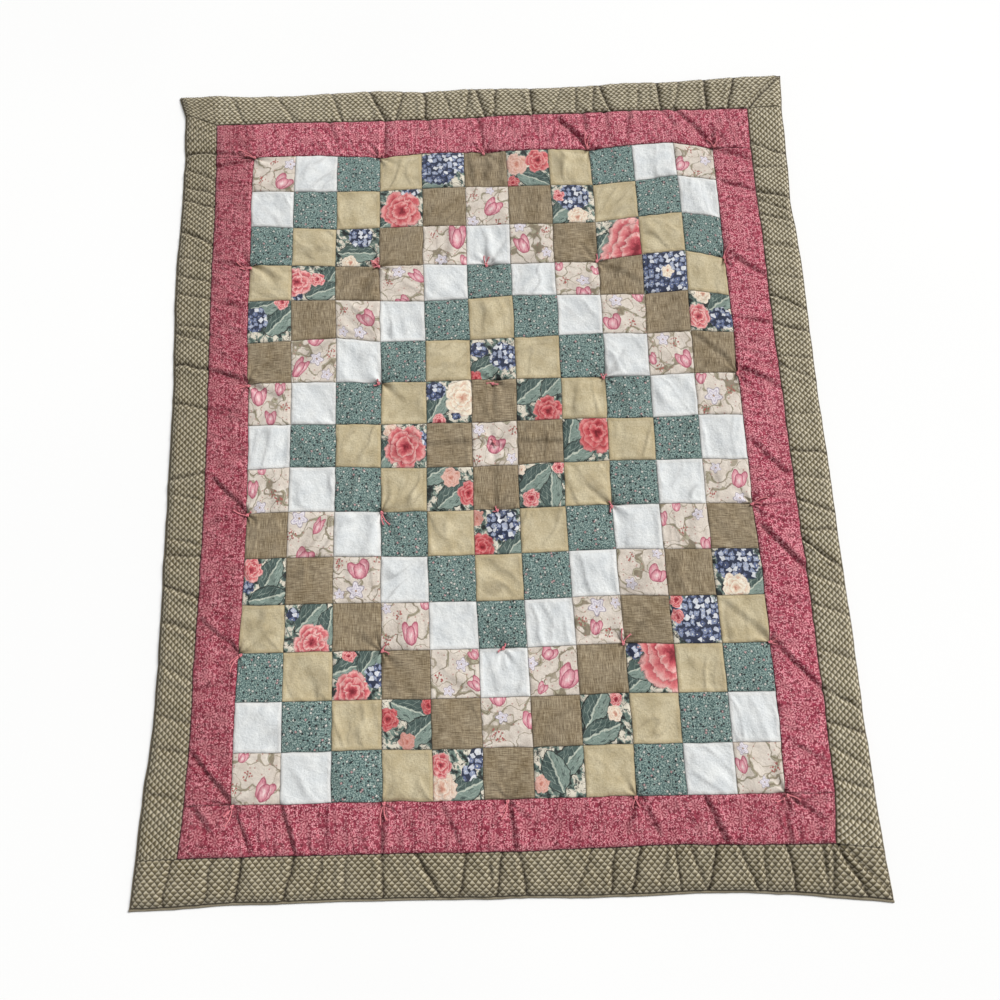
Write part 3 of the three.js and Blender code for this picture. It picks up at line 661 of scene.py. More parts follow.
# The tulip squares: beige cotton printed with pink tulips on olive stems, red sprigs and pale
# lavender stars. The print's repeat is larger than a square, so each square shows its own part.
# Rows: row and column, tulips (x, y, width, height), red sprigs (x, y), stars (x, y, radius).
TULIP_SQUARES = [
    (0, 0, [(21, -21, 40, 38)], [(-25, -16), (0, 30)], [(34, 22, 12)]),
    (0, 10, [(-33, -14, 34, 40)], [(4, -31), (-13, 29)], [(24, 6, 12)]),
    (1, 5, [(11, -5, 37, 43)], [(21, -41), (-26, 24)], [(-30, -34, 12), (7, 33, 9)]),
    (2, 4, [(26, 18, 40, 58), (42, -34, 26, 26)], [(-21, 24)], [(-7, -33, 12)]),
    (2, 6, [(-18, -2, 34, 42)], [(29, 29)], [(-23, 36, 12), (30, -22, 10)]),
    (3, 3, [(32, 15, 26, 40), (3, -44, 30, 30)], [(-26, 1)], [(-5, 26, 13)]),
    (3, 7, [(10, -40, 35, 36), (38, 19, 22, 24), (-37, 31, 22, 24)], [(-26, -6)], [(12, -7, 13)]),
    (4, 2, [(19, 3, 38, 38)], [(-27, 18)], [(4, -28, 13), (-30, -28, 10)]),
    (4, 8, [(-24, -20, 40, 34), (31, 37, 24, 26)], [(16, -20)], [(-15, 28, 13)]),
    (5, 1, [(-27, -15, 28, 46), (3, 42, 34, 30)], [(34, 14)], [(6, 3, 13), (26, -28, 11)]),
    (5, 9, [(26, -15, 34, 38), (-38, -10, 20, 28)], [(-22, -29), (9, 22)], [(-14, 30, 12)]),
    (6, 0, [(-22, 16, 38, 42), (3, -29, 29, 30), (22, 30, 24, 30)], [(34, -6)], []),
    (6, 10, [(-33, 32, 24, 26)], [(27, 7), (-30, -34)], [(-11, -5, 18)]),
    (7, 5, [(0, -3, 40, 37)], [(36, 24), (-34, -30)], [(-30, 28, 11), (32, -30, 10)]),
    (8, 0, [(-32, 4, 25, 37), (-15, 40, 22, 20)], [(13, -8), (24, -20)], [(-15, -33, 13)]),
    (8, 10, [(22, 3, 34, 38)], [(-32, -23)], [(20, -34, 12), (-20, 26, 10)]),
    (9, 1, [(15, 15, 20, 38), (-11, -42, 37, 34)], [(-35, -3)], [(-22, 29, 16)]),
    (9, 9, [(-42, 15, 22, 30), (37, -36, 28, 30), (-13, 36, 18, 20)], [(-5, -5)], [(26, 22, 11)]),
    (10, 2, [(4, 19, 45, 38)], [(-34, 31), (37, 39)], [(-2, -20, 16), (-32, -26, 10)]),
    (10, 8, [(27, -4, 38, 32)], [(-18, 28)], [(-22, -22, 11), (30, 34, 9)]),
    (11, 3, [(10, -13, 34, 46), (39, 39, 22, 22)], [(-12, 21), (-33, -24)], [(-34, 32, 10)]),
    (11, 7, [(-6, -13, 26, 28)], [(-30, 0), (17, -22)], [(-1, 24, 16), (34, 30, 9)]),
    (12, 4, [(37, -19, 24, 30), (35, 34, 20, 22)], [(-31, -6)], [(13, 16, 12), (-12, -30, 10)]),
    (12, 6, [(27, -12, 42, 46), (-5, 31, 34, 28), (-23, -29, 20, 25)], [], [(-39, 16, 12)]),
    (13, 5, [(-13, 42, 34, 30), (44, 3, 34, 34)], [(-13, -25), (-20, -18)], [(-8, 8, 11)]),
    (14, 0, [(16, -20, 37, 43), (-25, 37, 22, 22)], [(-16, 6), (-37, -15)], []),
    (14, 10, [(-32, 5, 24, 30)], [(30, 0)], [(-27, 32, 11), (8, -24, 10)]),
]


def petal(x, y, centre_x, centre_y, half_width, half_height, lean):
    """How far out a point is in a petal's ellipse: 1 at its edge."""
    turn = math.radians(lean)
    away_x, away_y = x - centre_x, y - centre_y
    along = (away_y * math.cos(turn) - away_x * math.sin(turn)) / half_height
    aside = (away_x * math.cos(turn) + away_y * math.sin(turn)) / half_width
    return along.away(aside)


def tulip_print():
    fabric = Fabric("tulip_print")
    x, y = fabric.cloth()
    in_x, in_y, luck = fabric.fact("in_square")
    wander_x, wander_y = fabric.wander(x, y, 16, 2.0, 14)
    print_x, print_y = in_x + wander_x * 0.45, in_y + wander_y * 0.45
    colour = fabric.shades(
        fabric.clouds(x, y, 20, 3.0, 2.0),
        (0.3, ink(210, 197, 184)), (0.7, ink(232, 222, 210)),
    )
    stems = fabric.clouds(x + wander_x, y + wander_y, 52, 1.0, 17.0)
    line = abs(stems - 0.5)
    leafy = fabric.clouds(x, y, 26, 1.0, 23.0).ramp(0.47, 0.55)
    colour = fabric.over(colour, ink(128, 118, 98), line.within(0.024, 0.03) * leafy * 0.8)
    colour = fabric.over(colour, ink(178, 172, 148), line.within(0.015, 0.022) * leafy)
    colour = fabric.over(colour, ink(132, 120, 100), line.within(0.006, 0.012) * 0.9)
    second = abs(fabric.clouds(x + wander_y, y - wander_x, 44, 1.0, 41.0) - 0.5)
    colour = fabric.over(colour, ink(156, 144, 122), second.within(0.006, 0.011) * 0.8)
    scattered, chance, _, _ = fabric.spots(x, y, 13, 5.0)
    small = scattered.within(0.08, 0.14) * (chance[0] > 0.5) * 0.7
    colour = fabric.over(colour, ink(180, 124, 116), small)

    streaks = fabric.clouds(x * 3.4, y, 9, 2.0, 8.0)
    heights = fabric.fact("tulip_heights")
    nod_cos, nod_sin = ((luck - 0.5) * 1.5).cosine(), ((luck - 0.5) * 1.5).sine()
    for number, which in enumerate(("tulip_a", "tulip_b", "tulip_c")):
        at_x, at_y, width = fabric.fact(which)
        away_x, away_y = print_x - at_x, print_y - at_y
        cup_x = (away_x * nod_cos + away_y * nod_sin) * 2 / width
        cup_y = (away_y * nod_cos - away_x * nod_sin) * 2 / heights[number]
        left = petal(cup_x, cup_y, -0.38, 0.04, 0.47, 0.94, 15)
        right = petal(cup_x, cup_y, 0.38, 0.04, 0.47, 0.94, -15)
        for out in (left.lower(right), petal(cup_x, cup_y, 0.0, -0.16, 0.5, 0.8, 0)):
            shade = fabric.shades(
                out * 0.85 + (streaks - 0.5) * 0.9,
                (0.05, ink(245, 218, 217)), (0.4, ink(230, 170, 178)), (0.7, ink(210, 130, 146)),
                (0.88, ink(174, 90, 110)),
            )
            shade = fabric.over(shade, ink(156, 78, 94), band(out, 0.9, 0.99, 0.05) * 0.55)
            colour = fabric.over(colour, shade, out.within(0.97, 1.05))
    for which in ("star_a", "star_b"):
        at_x, at_y, radius = fabric.fact(which)
        away_x, away_y = (print_x - at_x) / radius, (print_y - at_y) / radius
        out = away_x.away(away_y)
        rays = out - (away_y.turn(away_x) * 5 + luck * 6).cosine() * 0.2
        colour = fabric.over(colour, ink(150, 140, 160), rays.within(0.86, 0.94) * 0.85)
        colour = fabric.over(colour, ink(232, 226, 230), rays.within(0.74, 0.82))
        colour = fabric.over(colour, ink(196, 186, 206), band(rays, 0.36, 0.5, 0.06) * 0.8)
        colour = fabric.over(colour, ink(168, 140, 120), out.within(0.1, 0.18))
    buds, _, _, _ = fabric.spots(print_x, print_y, 6.2, 13.0)
    for which in ("sprig_a", "sprig_b"):
        at_x, at_y, radius = fabric.fact(which)
        away_x, away_y = print_x - at_x, print_y - at_y
        near = away_x.away(away_y).within(radius - 3, radius)
        twig = abs(away_x - away_y * 0.35).within(0.5, 1.3) * near
        colour = fabric.over(colour, ink(120, 92, 74), twig * 0.8)
        colour = fabric.over(colour, ink(172, 94, 88), buds.within(0.22, 0.32) * near)
    return fabric.finish(worn_and_shaded(fabric, x, y, colour, 0.06), weave(fabric, x, y), 0.0014)


# The floral squares: a furnishing chintz of cabbage roses, blue hydrangeas and cream blossoms over
# shadowed leaves. The flowers are as large as a square, so each square is cut from another part.
# Rows: row and column, roses, hydrangeas, cream blossoms (x, y, radius), leaves (x, y, angle).
CHINTZ_SQUARES = [
    (0, 4, [], [(-10, 5, 44), (28, 20, 30)], [], [(-26, -31, 20)]),
    (0, 6, [(21, 18, 26), (-33, -34, 14)], [], [(-24, 10, 24)], [(9, -27, -25)]),
    (1, 3, [(0, -2, 42)], [(19, 36, 18)], [], [(-27, -33, 30)]),
    (1, 7, [(-29, 21, 12)], [(2, 15, 34)], [(8, -30, 22)], [(-30, -20, 40)]),
    (2, 2, [(40, -37, 14)], [(6, 24, 26)], [(-15, -34, 16)], [(0, -14, 0)]),
    (2, 8, [(35, -22, 72)], [], [], [(-40, -18, 60)]),
    (3, 1, [(-33, 5, 32), (7, 11, 16)], [(-31, -32, 12)], [], [(35, 14, 60), (21, -20, 25)]),
    (3, 9, [], [(0, 0, 60)], [(4, 2, 12)], []),
    (4, 0, [(25, 42, 16)], [(-27, 5, 26)], [], [(-9, 33, 10), (22, -1, 45)]),
    (4, 10, [(-26, -10, 25)], [(20, -14, 26)], [(-14, 39, 18)], [(26, 26, 40)]),
    (5, 5, [(-36, -38, 14)], [(-28, 20, 18), (22, 5, 30)], [], [(-15, -17, 30)]),
    (6, 4, [(-20, -38, 14)], [(-26, 23, 20), (14, -29, 10)], [(26, 11, 34)], [(-24, -10, 60)]),
    (6, 6, [(17, -23, 30)], [], [], [(-17, 17, 40), (32, 32, 45)]),
    (7, 3, [(2, 1, 40)], [(36, 10, 18)], [(-25, 32, 14)], [(-34, -17, 60)]),
    (7, 7, [(22, 17, 38)], [], [], [(-30, 10, 80), (-15, -23, 25)]),
    (8, 4, [(36, -8, 22)], [], [(2, 24, 18)], [(-26, 32, 30), (5, -12, 40)]),
    (8, 6, [(-22, -23, 17), (34, 35, 13)], [], [(-38, 34, 10)], [(18, -14, 90), (-12, 14, 40)]),
    (9, 5, [(-30, -26, 24)], [(10, 14, 33)], [(-39, 29, 14)], [(32, -30, 45)]),
    (10, 0, [(-26, 25, 22)], [(-33, -9, 13)], [], [(14, 13, 60), (7, -30, 10)]),
    (10, 10, [], [(0, 19, 42)], [(-7, -27, 25)], [(30, -24, 40)]),
    (11, 1, [(7, -24, 33)], [(-29, 25, 12)], [], [(4, 22, 45), (37, 0, 80)]),
    (11, 9, [(-32, 7, 12), (-32, 37, 13)], [(8, 0, 52)], [], []),
    (12, 2, [(-9, -24, 33), (-14, 37, 12)], [(35, -2, 22)], [], [(-12, 13, 20), (25, 31, 60)]),
    (12, 8, [(41, 34, 66)], [(-29, 31, 15)], [], [(-29, -27, 40), (-10, 4, 20)]),
    (13, 3, [(-33, 12, 20), (40, 34, 14)], [], [(0, -27, 15)], [(10, 25, -20), (24, -12, 40)]),
    (13, 7, [(19, 34, 12)], [], [(15, 10, 13)], [(-18, 20, 60), (-10, -22, 20)]),
    (14, 4, [(-30, 18, 20)], [(34, 25, 18), (19, 3, 14)], [(-30, -18, 28)], [(10, -25, 20)]),
    (14, 6, [], [], [(-32, -18, 14)], [(17, 18, 45), (-6, 0, 110)]),
]


def rose_bloom(fabric, colour, x, y, spot, luck, daub, *tints):
    """A full rose printed over the colour: three rings of petals, each petal dark at its base and
    pale at its rim, with brush strokes that run out from the heart."""
    at_x, at_y, radius = spot
    away_x = (x - at_x) / radius + daub * 0.35
    away_y = (y - at_y) / radius * 0.9 + daub * 0.2 + 0.1
    turn = away_y.turn(away_x)
    out = away_x.away(away_y)
    strokes = fabric.clouds(away_x / (out + 0.25) * 4, away_y / (out + 0.25) * 4, 1, 2.0, 3.0) - 0.5
    for size, petals, base in ((1.0, 2.5, 0.45), (0.74, 2.0, 0.28), (0.46, 1.5, 0.08)):
        scallop = abs((turn * petals + luck * 9 + size * 5 + out * 1.5).sine()) ** 0.5
        rim = out / (size * (scallop * 0.24 + 0.78)) + strokes * 0.12
        shade = fabric.shades(
            (rim - base) / (1 - base) + strokes * 0.75 + daub * 0.5,
            (0.1, tints[0]), (0.4, tints[1]), (0.66, tints[2]), (0.92, tints[3]),
        )
        shade = fabric.over(shade, ink(226, 172, 176), luck.ramp(0.35, 0.95), "MULTIPLY")
        shade = fabric.over(shade, tints[0], rim.ramp(0.93, 0.99) * 0.55)
        colour = fabric.over(colour, shade, rim.within(0.97, 1.02))
    return colour


HALF_LEAF = (40, 23)  # half a leaf's length and width


def chintz_print():
    fabric = Fabric("floral_chintz")
    x, y = fabric.cloth()
    in_x, in_y, luck = fabric.fact("in_square")
    wander_x, wander_y = fabric.wander(x, y, 13, 2.0, 16)
    leafy = fabric.clouds(x * 1.7 + y + wander_x * 1.6, y - x * 0.6 + wander_y * 1.6, 24, 2.0, 9.0)
    colour = fabric.shades(
        leafy,
        (0.36, ink(38, 44, 44)), (0.4, ink(66, 80, 78)), (0.45, ink(104, 122, 114)),
        (0.5, ink(142, 158, 146)), (0.515, ink(214, 206, 190)), (0.66, ink(232, 224, 206)),
    )
    veins = abs(fabric.clouds(x - wander_y, y + wander_x, 13, 2.0, 19.0) - 0.5)
    colour = fabric.over(colour, ink(40, 44, 42), veins.within(0.010, 0.026) * 0.85)
    daub = fabric.clouds(x * 1.5 - y, y * 1.1 + x, 15, 2.0, 29.0, 0.55) - 0.5

    print_x, print_y = in_x + wander_x * 0.7, in_y + wander_y * 0.7
    for which in ("leaf_a", "leaf_b"):
        at_x, at_y, angle = fabric.fact(which)
        away_x, away_y = print_x - at_x, print_y - at_y
        along = (away_x * angle.cosine() + away_y * angle.sine()) / HALF_LEAF[0]
        aside = (away_y * angle.cosine() - away_x * angle.sine()) / HALF_LEAF[1]
        out = along * along + abs(aside) ** 1.3 + daub * 0.12
        half = fabric.over(ink(128, 146, 137), ink(76, 94, 90), (aside + daub * 0.3).ramp(-0.1, 0.1))
        brushed = fabric.clouds(along * 1.5, aside * 9, 1, 2.0, 6.0)
        half = fabric.over(half, ink(176, 188, 176), brushed.ramp(0.58, 0.7) * 0.6)
        half = fabric.over(half, ink(52, 66, 66), (brushed + daub * 0.5).ramp(0.44, 0.34) * 0.8)
        ribs = ((along - abs(aside) * 0.6) * 3 + daub * 0.4).part()
        half = fabric.over(half, ink(170, 184, 174), ribs.within(0.05, 0.12) * 0.5)
        half = fabric.over(half, ink(206, 212, 196), abs(aside).within(0.03, 0.08) * 0.8)
        half = fabric.over(half, ink(38, 44, 42), out.ramp(0.88, 0.95))
        colour = fabric.over(colour, half, out.within(0.98, 1.03))
    florets, chance, away_x, away_y = fabric.spots(print_x, print_y, 10.5, 2.0, 0.6)
    cross = florets - (away_y.turn(away_x) * 4 + chance[2] * 6).cosine() * 0.07
    sky = fabric.shades(
        chance[0],
        (0.0, ink(58, 66, 94)), (0.3, ink(98, 110, 146)), (0.6, ink(154, 164, 190)),
        (0.85, ink(224, 226, 232)),
    )
    heads = fabric.over(ink(46, 54, 76), sky, cross.within(0.4, 0.48))
    heads = fabric.over(heads, ink(226, 226, 216), florets.within(0.06, 0.12))
    for which in ("hydrangea_a", "hydrangea_b"):
        at_x, at_y, radius = fabric.fact(which)
        away_x, away_y = (print_x - at_x) / radius, (print_y - at_y) / radius
        edge = away_x.away(away_y) + daub * 0.5
        colour = fabric.over(colour, heads, edge.within(0.92, 1.0))
    cream = [ink(198, 140, 120), ink(228, 192, 168), ink(240, 224, 200), ink(248, 240, 222)]
    blossom = fabric.fact("blossom")
    colour = rose_bloom(fabric, colour, print_x, print_y, blossom, luck, daub, *cream)
    coral = [ink(130, 36, 50), ink(190, 76, 88), ink(226, 128, 130), ink(246, 194, 188)]
    for which in ("rose_a", "rose_b"):
        spot = fabric.fact(which)
        colour = rose_bloom(fabric, colour, print_x, print_y, spot, luck, daub, *coral)
    return fabric.finish(worn_and_shaded(fabric, x, y, colour, 0.05), weave(fabric, x, y), 0.0014)


RINGS = ["tulip", "brown", "chintz", "yellow", "teal", "white"]
FABRICS = {
    "tulip": tulip_print(),
    "brown": brown_slub(),
    "chintz": chintz_print(),
    "yellow": straw_cotton(),
    "teal": teal_calico(),
    "white": white_muslin(),
}
SPRIG_RADIUS = 11
NOWHERE = (900.0, 900.0, 10.0)  # for a motif that a square hasn't got: far outside it
# How far in from a seam the mesh has its lines, closer together where the cloth dips.
SQUARE_STEPS = [0, 0.6, 1.5, 2.8, 4.6, 6.6, 9, 12, 15.2, 18.6, 22, 25.6, 29.2, 32.8, 36.4, 40]
# How high each fabric's wrinkles stand: the thin plain ones crumple the most.
WRINKLES = {"tulip": 1.4, "brown": 1.8, "chintz": 1.2, "yellow": 2.5, "teal": 1.3, "white": 2.6}


def steps(low, high, edge_steps):
    """Grid places from low to high, close together at both ends."""
    half = (high - low) / 2
    kept = np.array([step for step in edge_steps if step < half - 1.5])
    return np.concatenate([low + kept, [low + half], high - kept[::-1]])


def padded_out(given, amount):
    """Places of a motif, filled up with ones far outside the square."""
    spots = [tuple(float(part) for part in spot) for spot in given]
    return spots + [NOWHERE] * (amount - len(spots))


def named(motif, spots):
    """The spots by the names motif_a, motif_b and so on."""
    return {f"{motif}_{letter}": spot for letter, spot in zip("abc", spots)}


def motif_facts(kind, row, column):
    """Where a square's printed motifs are, by the names that its fabric reads."""
    if kind == "tulip":
        entry = next(entry for entry in TULIP_SQUARES if entry[:2] == (row, column))
        tulips = padded_out(entry[2], 3)
        facts = named("tulip", [spot[:3] for spot in tulips])
        facts["tulip_heights"] = [spot[3] if len(spot) > 3 else 30.0 for spot in tulips]
        sprigs = [(x, y, SPRIG_RADIUS) for x, y in entry[3]]
        facts.update(named("sprig", padded_out(sprigs, 2)))
        facts.update(named("star", padded_out(entry[4], 2)))
        return facts
    if kind == "chintz":
        entry = next(entry for entry in CHINTZ_SQUARES if entry[:2] == (row, column))
        facts = named("rose", padded_out(entry[2], 2))
        facts.update(named("hydrangea", padded_out(entry[3], 2)))
        facts["blossom"] = padded_out(entry[4], 1)[0]
        leaves = [(x, y, math.radians(turn)) for x, y, turn in entry[5]]
        facts.update(named("leaf", padded_out(leaves, 2)))
        return facts
    return {}


def square_patch(kind, row, column):
    """A square's ruled grid, with its own random wrinkles and its printed motifs."""
    middle_x = (column + 0.5) * SQUARE_WIDTH - CENTRE_X
    middle_y = CENTRE_Y - (row + 0.5) * SQUARE_LENGTH
    half_x, half_y = (SQUARE_WIDTH - SEAM_GAP) / 2, (SQUARE_LENGTH - SEAM_GAP) / 2
    across = steps(middle_x - half_x, middle_x + half_x, SQUARE_STEPS)
    along = steps(middle_y - half_y, middle_y + half_y, SQUARE_STEPS)
    x, y = np.meshgrid(across, along)
    # The square's own random number from 0 to 1, which turns its wrinkles and its flowers.
    luck = math.modf(abs(math.sin(row * 12.9898 + column * 78.233)) * 437.585)[0]
    lean = math.radians(40 + 100 * luck)
    run = x * math.cos(lean) + y * math.sin(lean)
    aside = y * math.cos(lean) - x * math.sin(lean)
    warp = 7 * crumple(x, y, 34, 44 + row)
    slope = crumple(run / 4.5, aside + warp, 19, 10 + row)
    fine = 1 - np.abs(crumple(run / 3, aside + warp, 9, 30 + column))
    inside = np.clip(from_seams(x, y) / 14, 0, 1) ** 0.7
    patchy = 0.5 + 0.5 * crumple(x, y, 40, 90 + row)
    folds = 1.1 * crumple(run / 3, aside, 30, 120 + column)
    folds += 1.7 * patchy * (1 - np.abs(slope)) ** 5 + 0.4 * fine**4 - 0.5
    # Painted shade along one side of each wrinkle's ridge, the side turned from the light.
    painted_ridge_shade = 0.4 * patchy * bump(slope + 0.2, 0.13)
    patch = {"x": x, "y": y, "wrinkles": WRINKLES[kind] * inside * folds, "creased": inside * painted_ridge_shade}
    patch["in_square"] = np.stack([x - middle_x, y - middle_y, np.full(x.shape, luck)], -1)
    patch.update(motif_facts(kind, row, column))
    return patch


for kind in RINGS:
    patches = []
    for row in range(ROWS):
        for column in range(COLUMNS):
            ring = abs(row - ROWS // 2) + abs(column - COLUMNS // 2)
            if RINGS[ring % len(RINGS)] == kind:
                patches.append(square_patch(kind, row, column))
    facts = [fact for fact in patches[0] if fact not in ("x", "y", "wrinkles", "creased")]
    squares = sew("squares_" + kind, patches, FABRICS[kind], facts)
    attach(squares, "root")
    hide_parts("patchwork_centre")


# ---------------------------------------------------------------------------------------------
# The rose strips: the inner border, four strips of cotton printed all over with a dense pale vine
# on raspberry. The end strips run the full width of the frame and the sides butt between them.
# ---------------------------------------------------------------------------------------------
SIDES = ("top", "bottom", "left", "right")
STRIP_STEP = 2.4
STRIP_EDGE_STEPS = SQUARE_STEPS[:7]
STRIP_WRINKLES = 1.3  # how high a strip's small wrinkles stand
ROSE_LUCK = 50


def rose_print():
    fabric = Fabric("rose_vine_print")
    x, y = fabric.cloth()
    wander_x, wander_y = fabric.wander(x, y, 7, 1.0, 6)
    ground = fabric.shades(
        fabric.clouds(x, y, 8, 3.0, 3.0),
        (0.35, ink(112, 22, 46)), (0.62, ink(160, 52, 76)),
    )
    dense = fabric.clouds(x, y, 26, 2.0, 31.0).ramp(0.3, 0.62) * 0.6 + 0.4
    vine = abs(fabric.clouds(x + wander_x, y + wander_y, 9, 1.0, 11.0) - 0.5)
    colour = fabric.over(ground, ink(212, 112, 128), vine.within(0.008, 0.022) * dense)
    for pitch, seed in ((9.0, 3.0), (7.0, 19.0)):
        curl, luck, away_x, away_y = fabric.spots(x + wander_x * 0.4, y + wander_y * 0.4, pitch, seed)
        turned = away_y.turn(away_x) - luck[0] * 6.3
        stroke = band(curl + turned.sine() * 0.03, 0.24, 0.31, 0.07) * turned.cosine().ramp(-0.6, 0.1)
        colour = fabric.over(colour, ink(242, 158, 170), stroke * dense)
    beads, luck, _, _ = fabric.spots(x, y, 4.6, 7.0)
    colour = fabric.over(colour, ink(242, 176, 180), beads.within(0.16, 0.26) * (luck[0] > 0.6))
    rosette, _, away_x, away_y = fabric.spots(x + wander_x * 0.5, y + wander_y * 0.5, 40, 2.0, 0.7)
    rayed = (away_y.turn(away_x) * 10).cosine()
    colour = fabric.over(colour, ink(140, 44, 64), rosette.within(0.24, 0.3) * 0.45)
    rays = band(rosette, 0.15, 0.25, 0.03) * rayed.ramp(-0.1, 0.5)
    colour = fabric.over(colour, ink(236, 156, 164), rays * 0.75)
    colour = fabric.over(colour, ink(224, 140, 150), band(rosette, 0.06, 0.08, 0.02) * 0.7)
    # Painted shade: the left side and the foot end are darkened, as the sides turned from the window
    # light.
    painted_side_shade = x.within(-CENTRE_X - 8, -CENTRE_X + 8) * 0.9
    painted_side_shade = painted_side_shade.higher(y.within(-CENTRE_Y - 8, -CENTRE_Y + 8) * 0.5)
    colour = fabric.over(colour, ink(196, 180, 180), painted_side_shade * 0.6, "MULTIPLY")
    return fabric.finish(worn_and_shaded(fabric, x, y, colour, 0.07), weave(fabric, x, y), 0.0007)


def strip_relief(is_end, x, y, inner, outer, seed, creases=()):
    """A strip's small wrinkles and listed creases at its points, which run across it from the inner
    seam to the outer one, and the shade painted into the creases' troughs."""
    along, out = (x, y) if is_end else (y, x)
    slant = along + 0.5 * out * crumple(along, out * 0, 240, seed)
    ridges = 1 - np.abs(crumple(slant, out / 3.4, 15, seed))
    fine = 1 - np.abs(crumple(slant, out / 3, 8, seed + 4))
    inside = np.clip(from_seams(x, y) / 10, 0, 1) ** 0.7
    wrinkles = STRIP_WRINKLES * inside * (1.7 * ridges**3 + 0.35 * fine**3 - 0.6)
    share = (np.abs(out) - inner) / (outer - inner)
    # Painted shade in the bottoms of the listed creases.
    creased = np.zeros(x.shape)
    for from_place, to_place, depth in creases:
        aside = along - from_place - (to_place - from_place) * share
        aside = aside + 2.2 * crumple(share * 3, aside * 0, 1, seed + from_place)
        wrinkles += crease(aside, depth)
        creased += hollow(aside, depth)
    return wrinkles, creased


def strip_patch(side, low, high, inner, outer, seed, creases=()):
    """A border strip's ruled grid from low to high along it, with its wrinkles and creases."""
    is_end = side in ("top", "bottom")
    edge_steps = np.array(STRIP_EDGE_STEPS)
    along = np.linspace(low, high, round((high - low) / STRIP_STEP) + 1)
    along = np.concatenate([low + edge_steps[:3], along[1:-1], high - edge_steps[2::-1]])
    middle = np.arange(inner + 12, outer - 11, STRIP_STEP)
    out = np.concatenate([inner + edge_steps, middle, outer - edge_steps[::-1]])
    if side in ("bottom", "left"):
        out = -out[::-1]
    x, y = np.meshgrid(along, out) if is_end else np.meshgrid(out, along)
    wrinkles, creased = strip_relief(is_end, x, y, inner, outer, seed, creases)
    return {"x": x, "y": y, "wrinkles": wrinkles, "creased": creased}


ROSE_CLOTH = rose_print()
for number, side in enumerate(SIDES):
    is_end = side in ("top", "bottom")
    half = (ROSE_X if is_end else CENTRE_Y) - SEAM_GAP / 2
    inner, outer = (CENTRE_Y, ROSE_Y) if is_end else (CENTRE_X, ROSE_X)
    inner, outer = inner + SEAM_GAP / 2, outer - SEAM_GAP / 2
    patch = strip_patch(side, -half, half, inner, outer, ROSE_LUCK + number)
    strip = sew("rose_border_" + side, [patch], ROSE_CLOTH)
    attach(strip, "root")
    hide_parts("rose_strip_" + side)


# ---------------------------------------------------------------------------------------------
# The olive strips: the outer border, of cotton in a small tan scale check on olive brown. Their
# outer edge is held by the turned seam, so they draw up in sharp creases from seam to edge.
# ---------------------------------------------------------------------------------------------
# Each crease: its place on the inner seam, its place on the outer edge, and its depth.
OLIVE_CREASES = {
    "top": [
        (-510, -545, 1.5), (-405, -445, 2), (-303, -328, 2), (-212, -245, 3.5), (-187, -172, 2.5),
        (-125, -127, 3.5), (-65, -88, 1.5), (-38, -28, 2), (3, -13, 3), (22, 31, 3),
        (106, 103, 4), (150, 172, 1.5), (202, 203, 2), (237, 244, 2.5), (275, 256, 3.5),
        (330, 341, 1.5), (385, 377, 4), (410, 431, 2), (484, 487, 4), (527, 551, 3.5),
        (572, 642, 3.5),
    ],
    "bottom": [
        (-578, -592, 2.5), (-515, -525, 2), (-465, -478, 4), (-375, -390, 3.5), (-325, -345, 2),
        (-285, -290, 1.5), (-225, -223, 3), (-163, -125, 3.5), (-78, -92, 3), (-40, -35, 1.5),
        (-15, -27, 3), (14, 25, 3), (140, 105, 2), (180, 168, 3), (225, 202, 3.5),
        (270, 250, 1.5), (285, 288, 2.5), (308, 335, 2), (358, 335, 3.5), (395, 425, 2.5),
        (440, 438, 2), (485, 492, 3.5), (545, 552, 2), (562, 560, 2.5), (572, 610, 3.5),
        (580, 650, 2),
    ],
    "left": [
        (663, 655, 3.5), (592, 622, 2), (557, 577, 2), (525, 546, 3), (436, 472, 3),
        (395, 410, 1.5), (352, 368, 2), (308, 326, 2), (246, 258, 2), (215, 238, 2),
        (162, 173, 3.5), (77, 92, 2.5), (-48, -60, 2), (-100, -86, 1.5), (-210, -206, 2.5),
        (-190, -172, 1.5), (-288, -262, 3), (-345, -330, 2), (-440, -402, 1.5),
        (-510, -490, 1.5), (-560, -545, 1.5), (-640, -620, 1.2),
    ],
    "right": [
        (660, 632, 2.5), (600, 598, 1.5), (543, 528, 3), (520, 492, 2), (490, 465, 1.5),
        (420, 405, 1.5), (350, 338, 1.5), (305, 266, 3), (237, 216, 2.5), (165, 160, 1.5),
        (150, 108, 2), (45, 44, 1.5), (-25, -33, 2.5), (-78, -84, 1.5), (-122, -152, 2.5),
        (-182, -186, 2), (-198, -258, 3.5), (-262, -292, 2), (-320, -347, 2), (-400, -425, 1.5),
        (-470, -512, 2.5), (-530, -552, 3), (-568, -612, 2), (-625, -645, 2), (-690, -700, 1.2),
    ],
}
CHECK_WIDTH = 11.4
CHECK_HEIGHT = 11.8
OLIVE_LUCK = 70


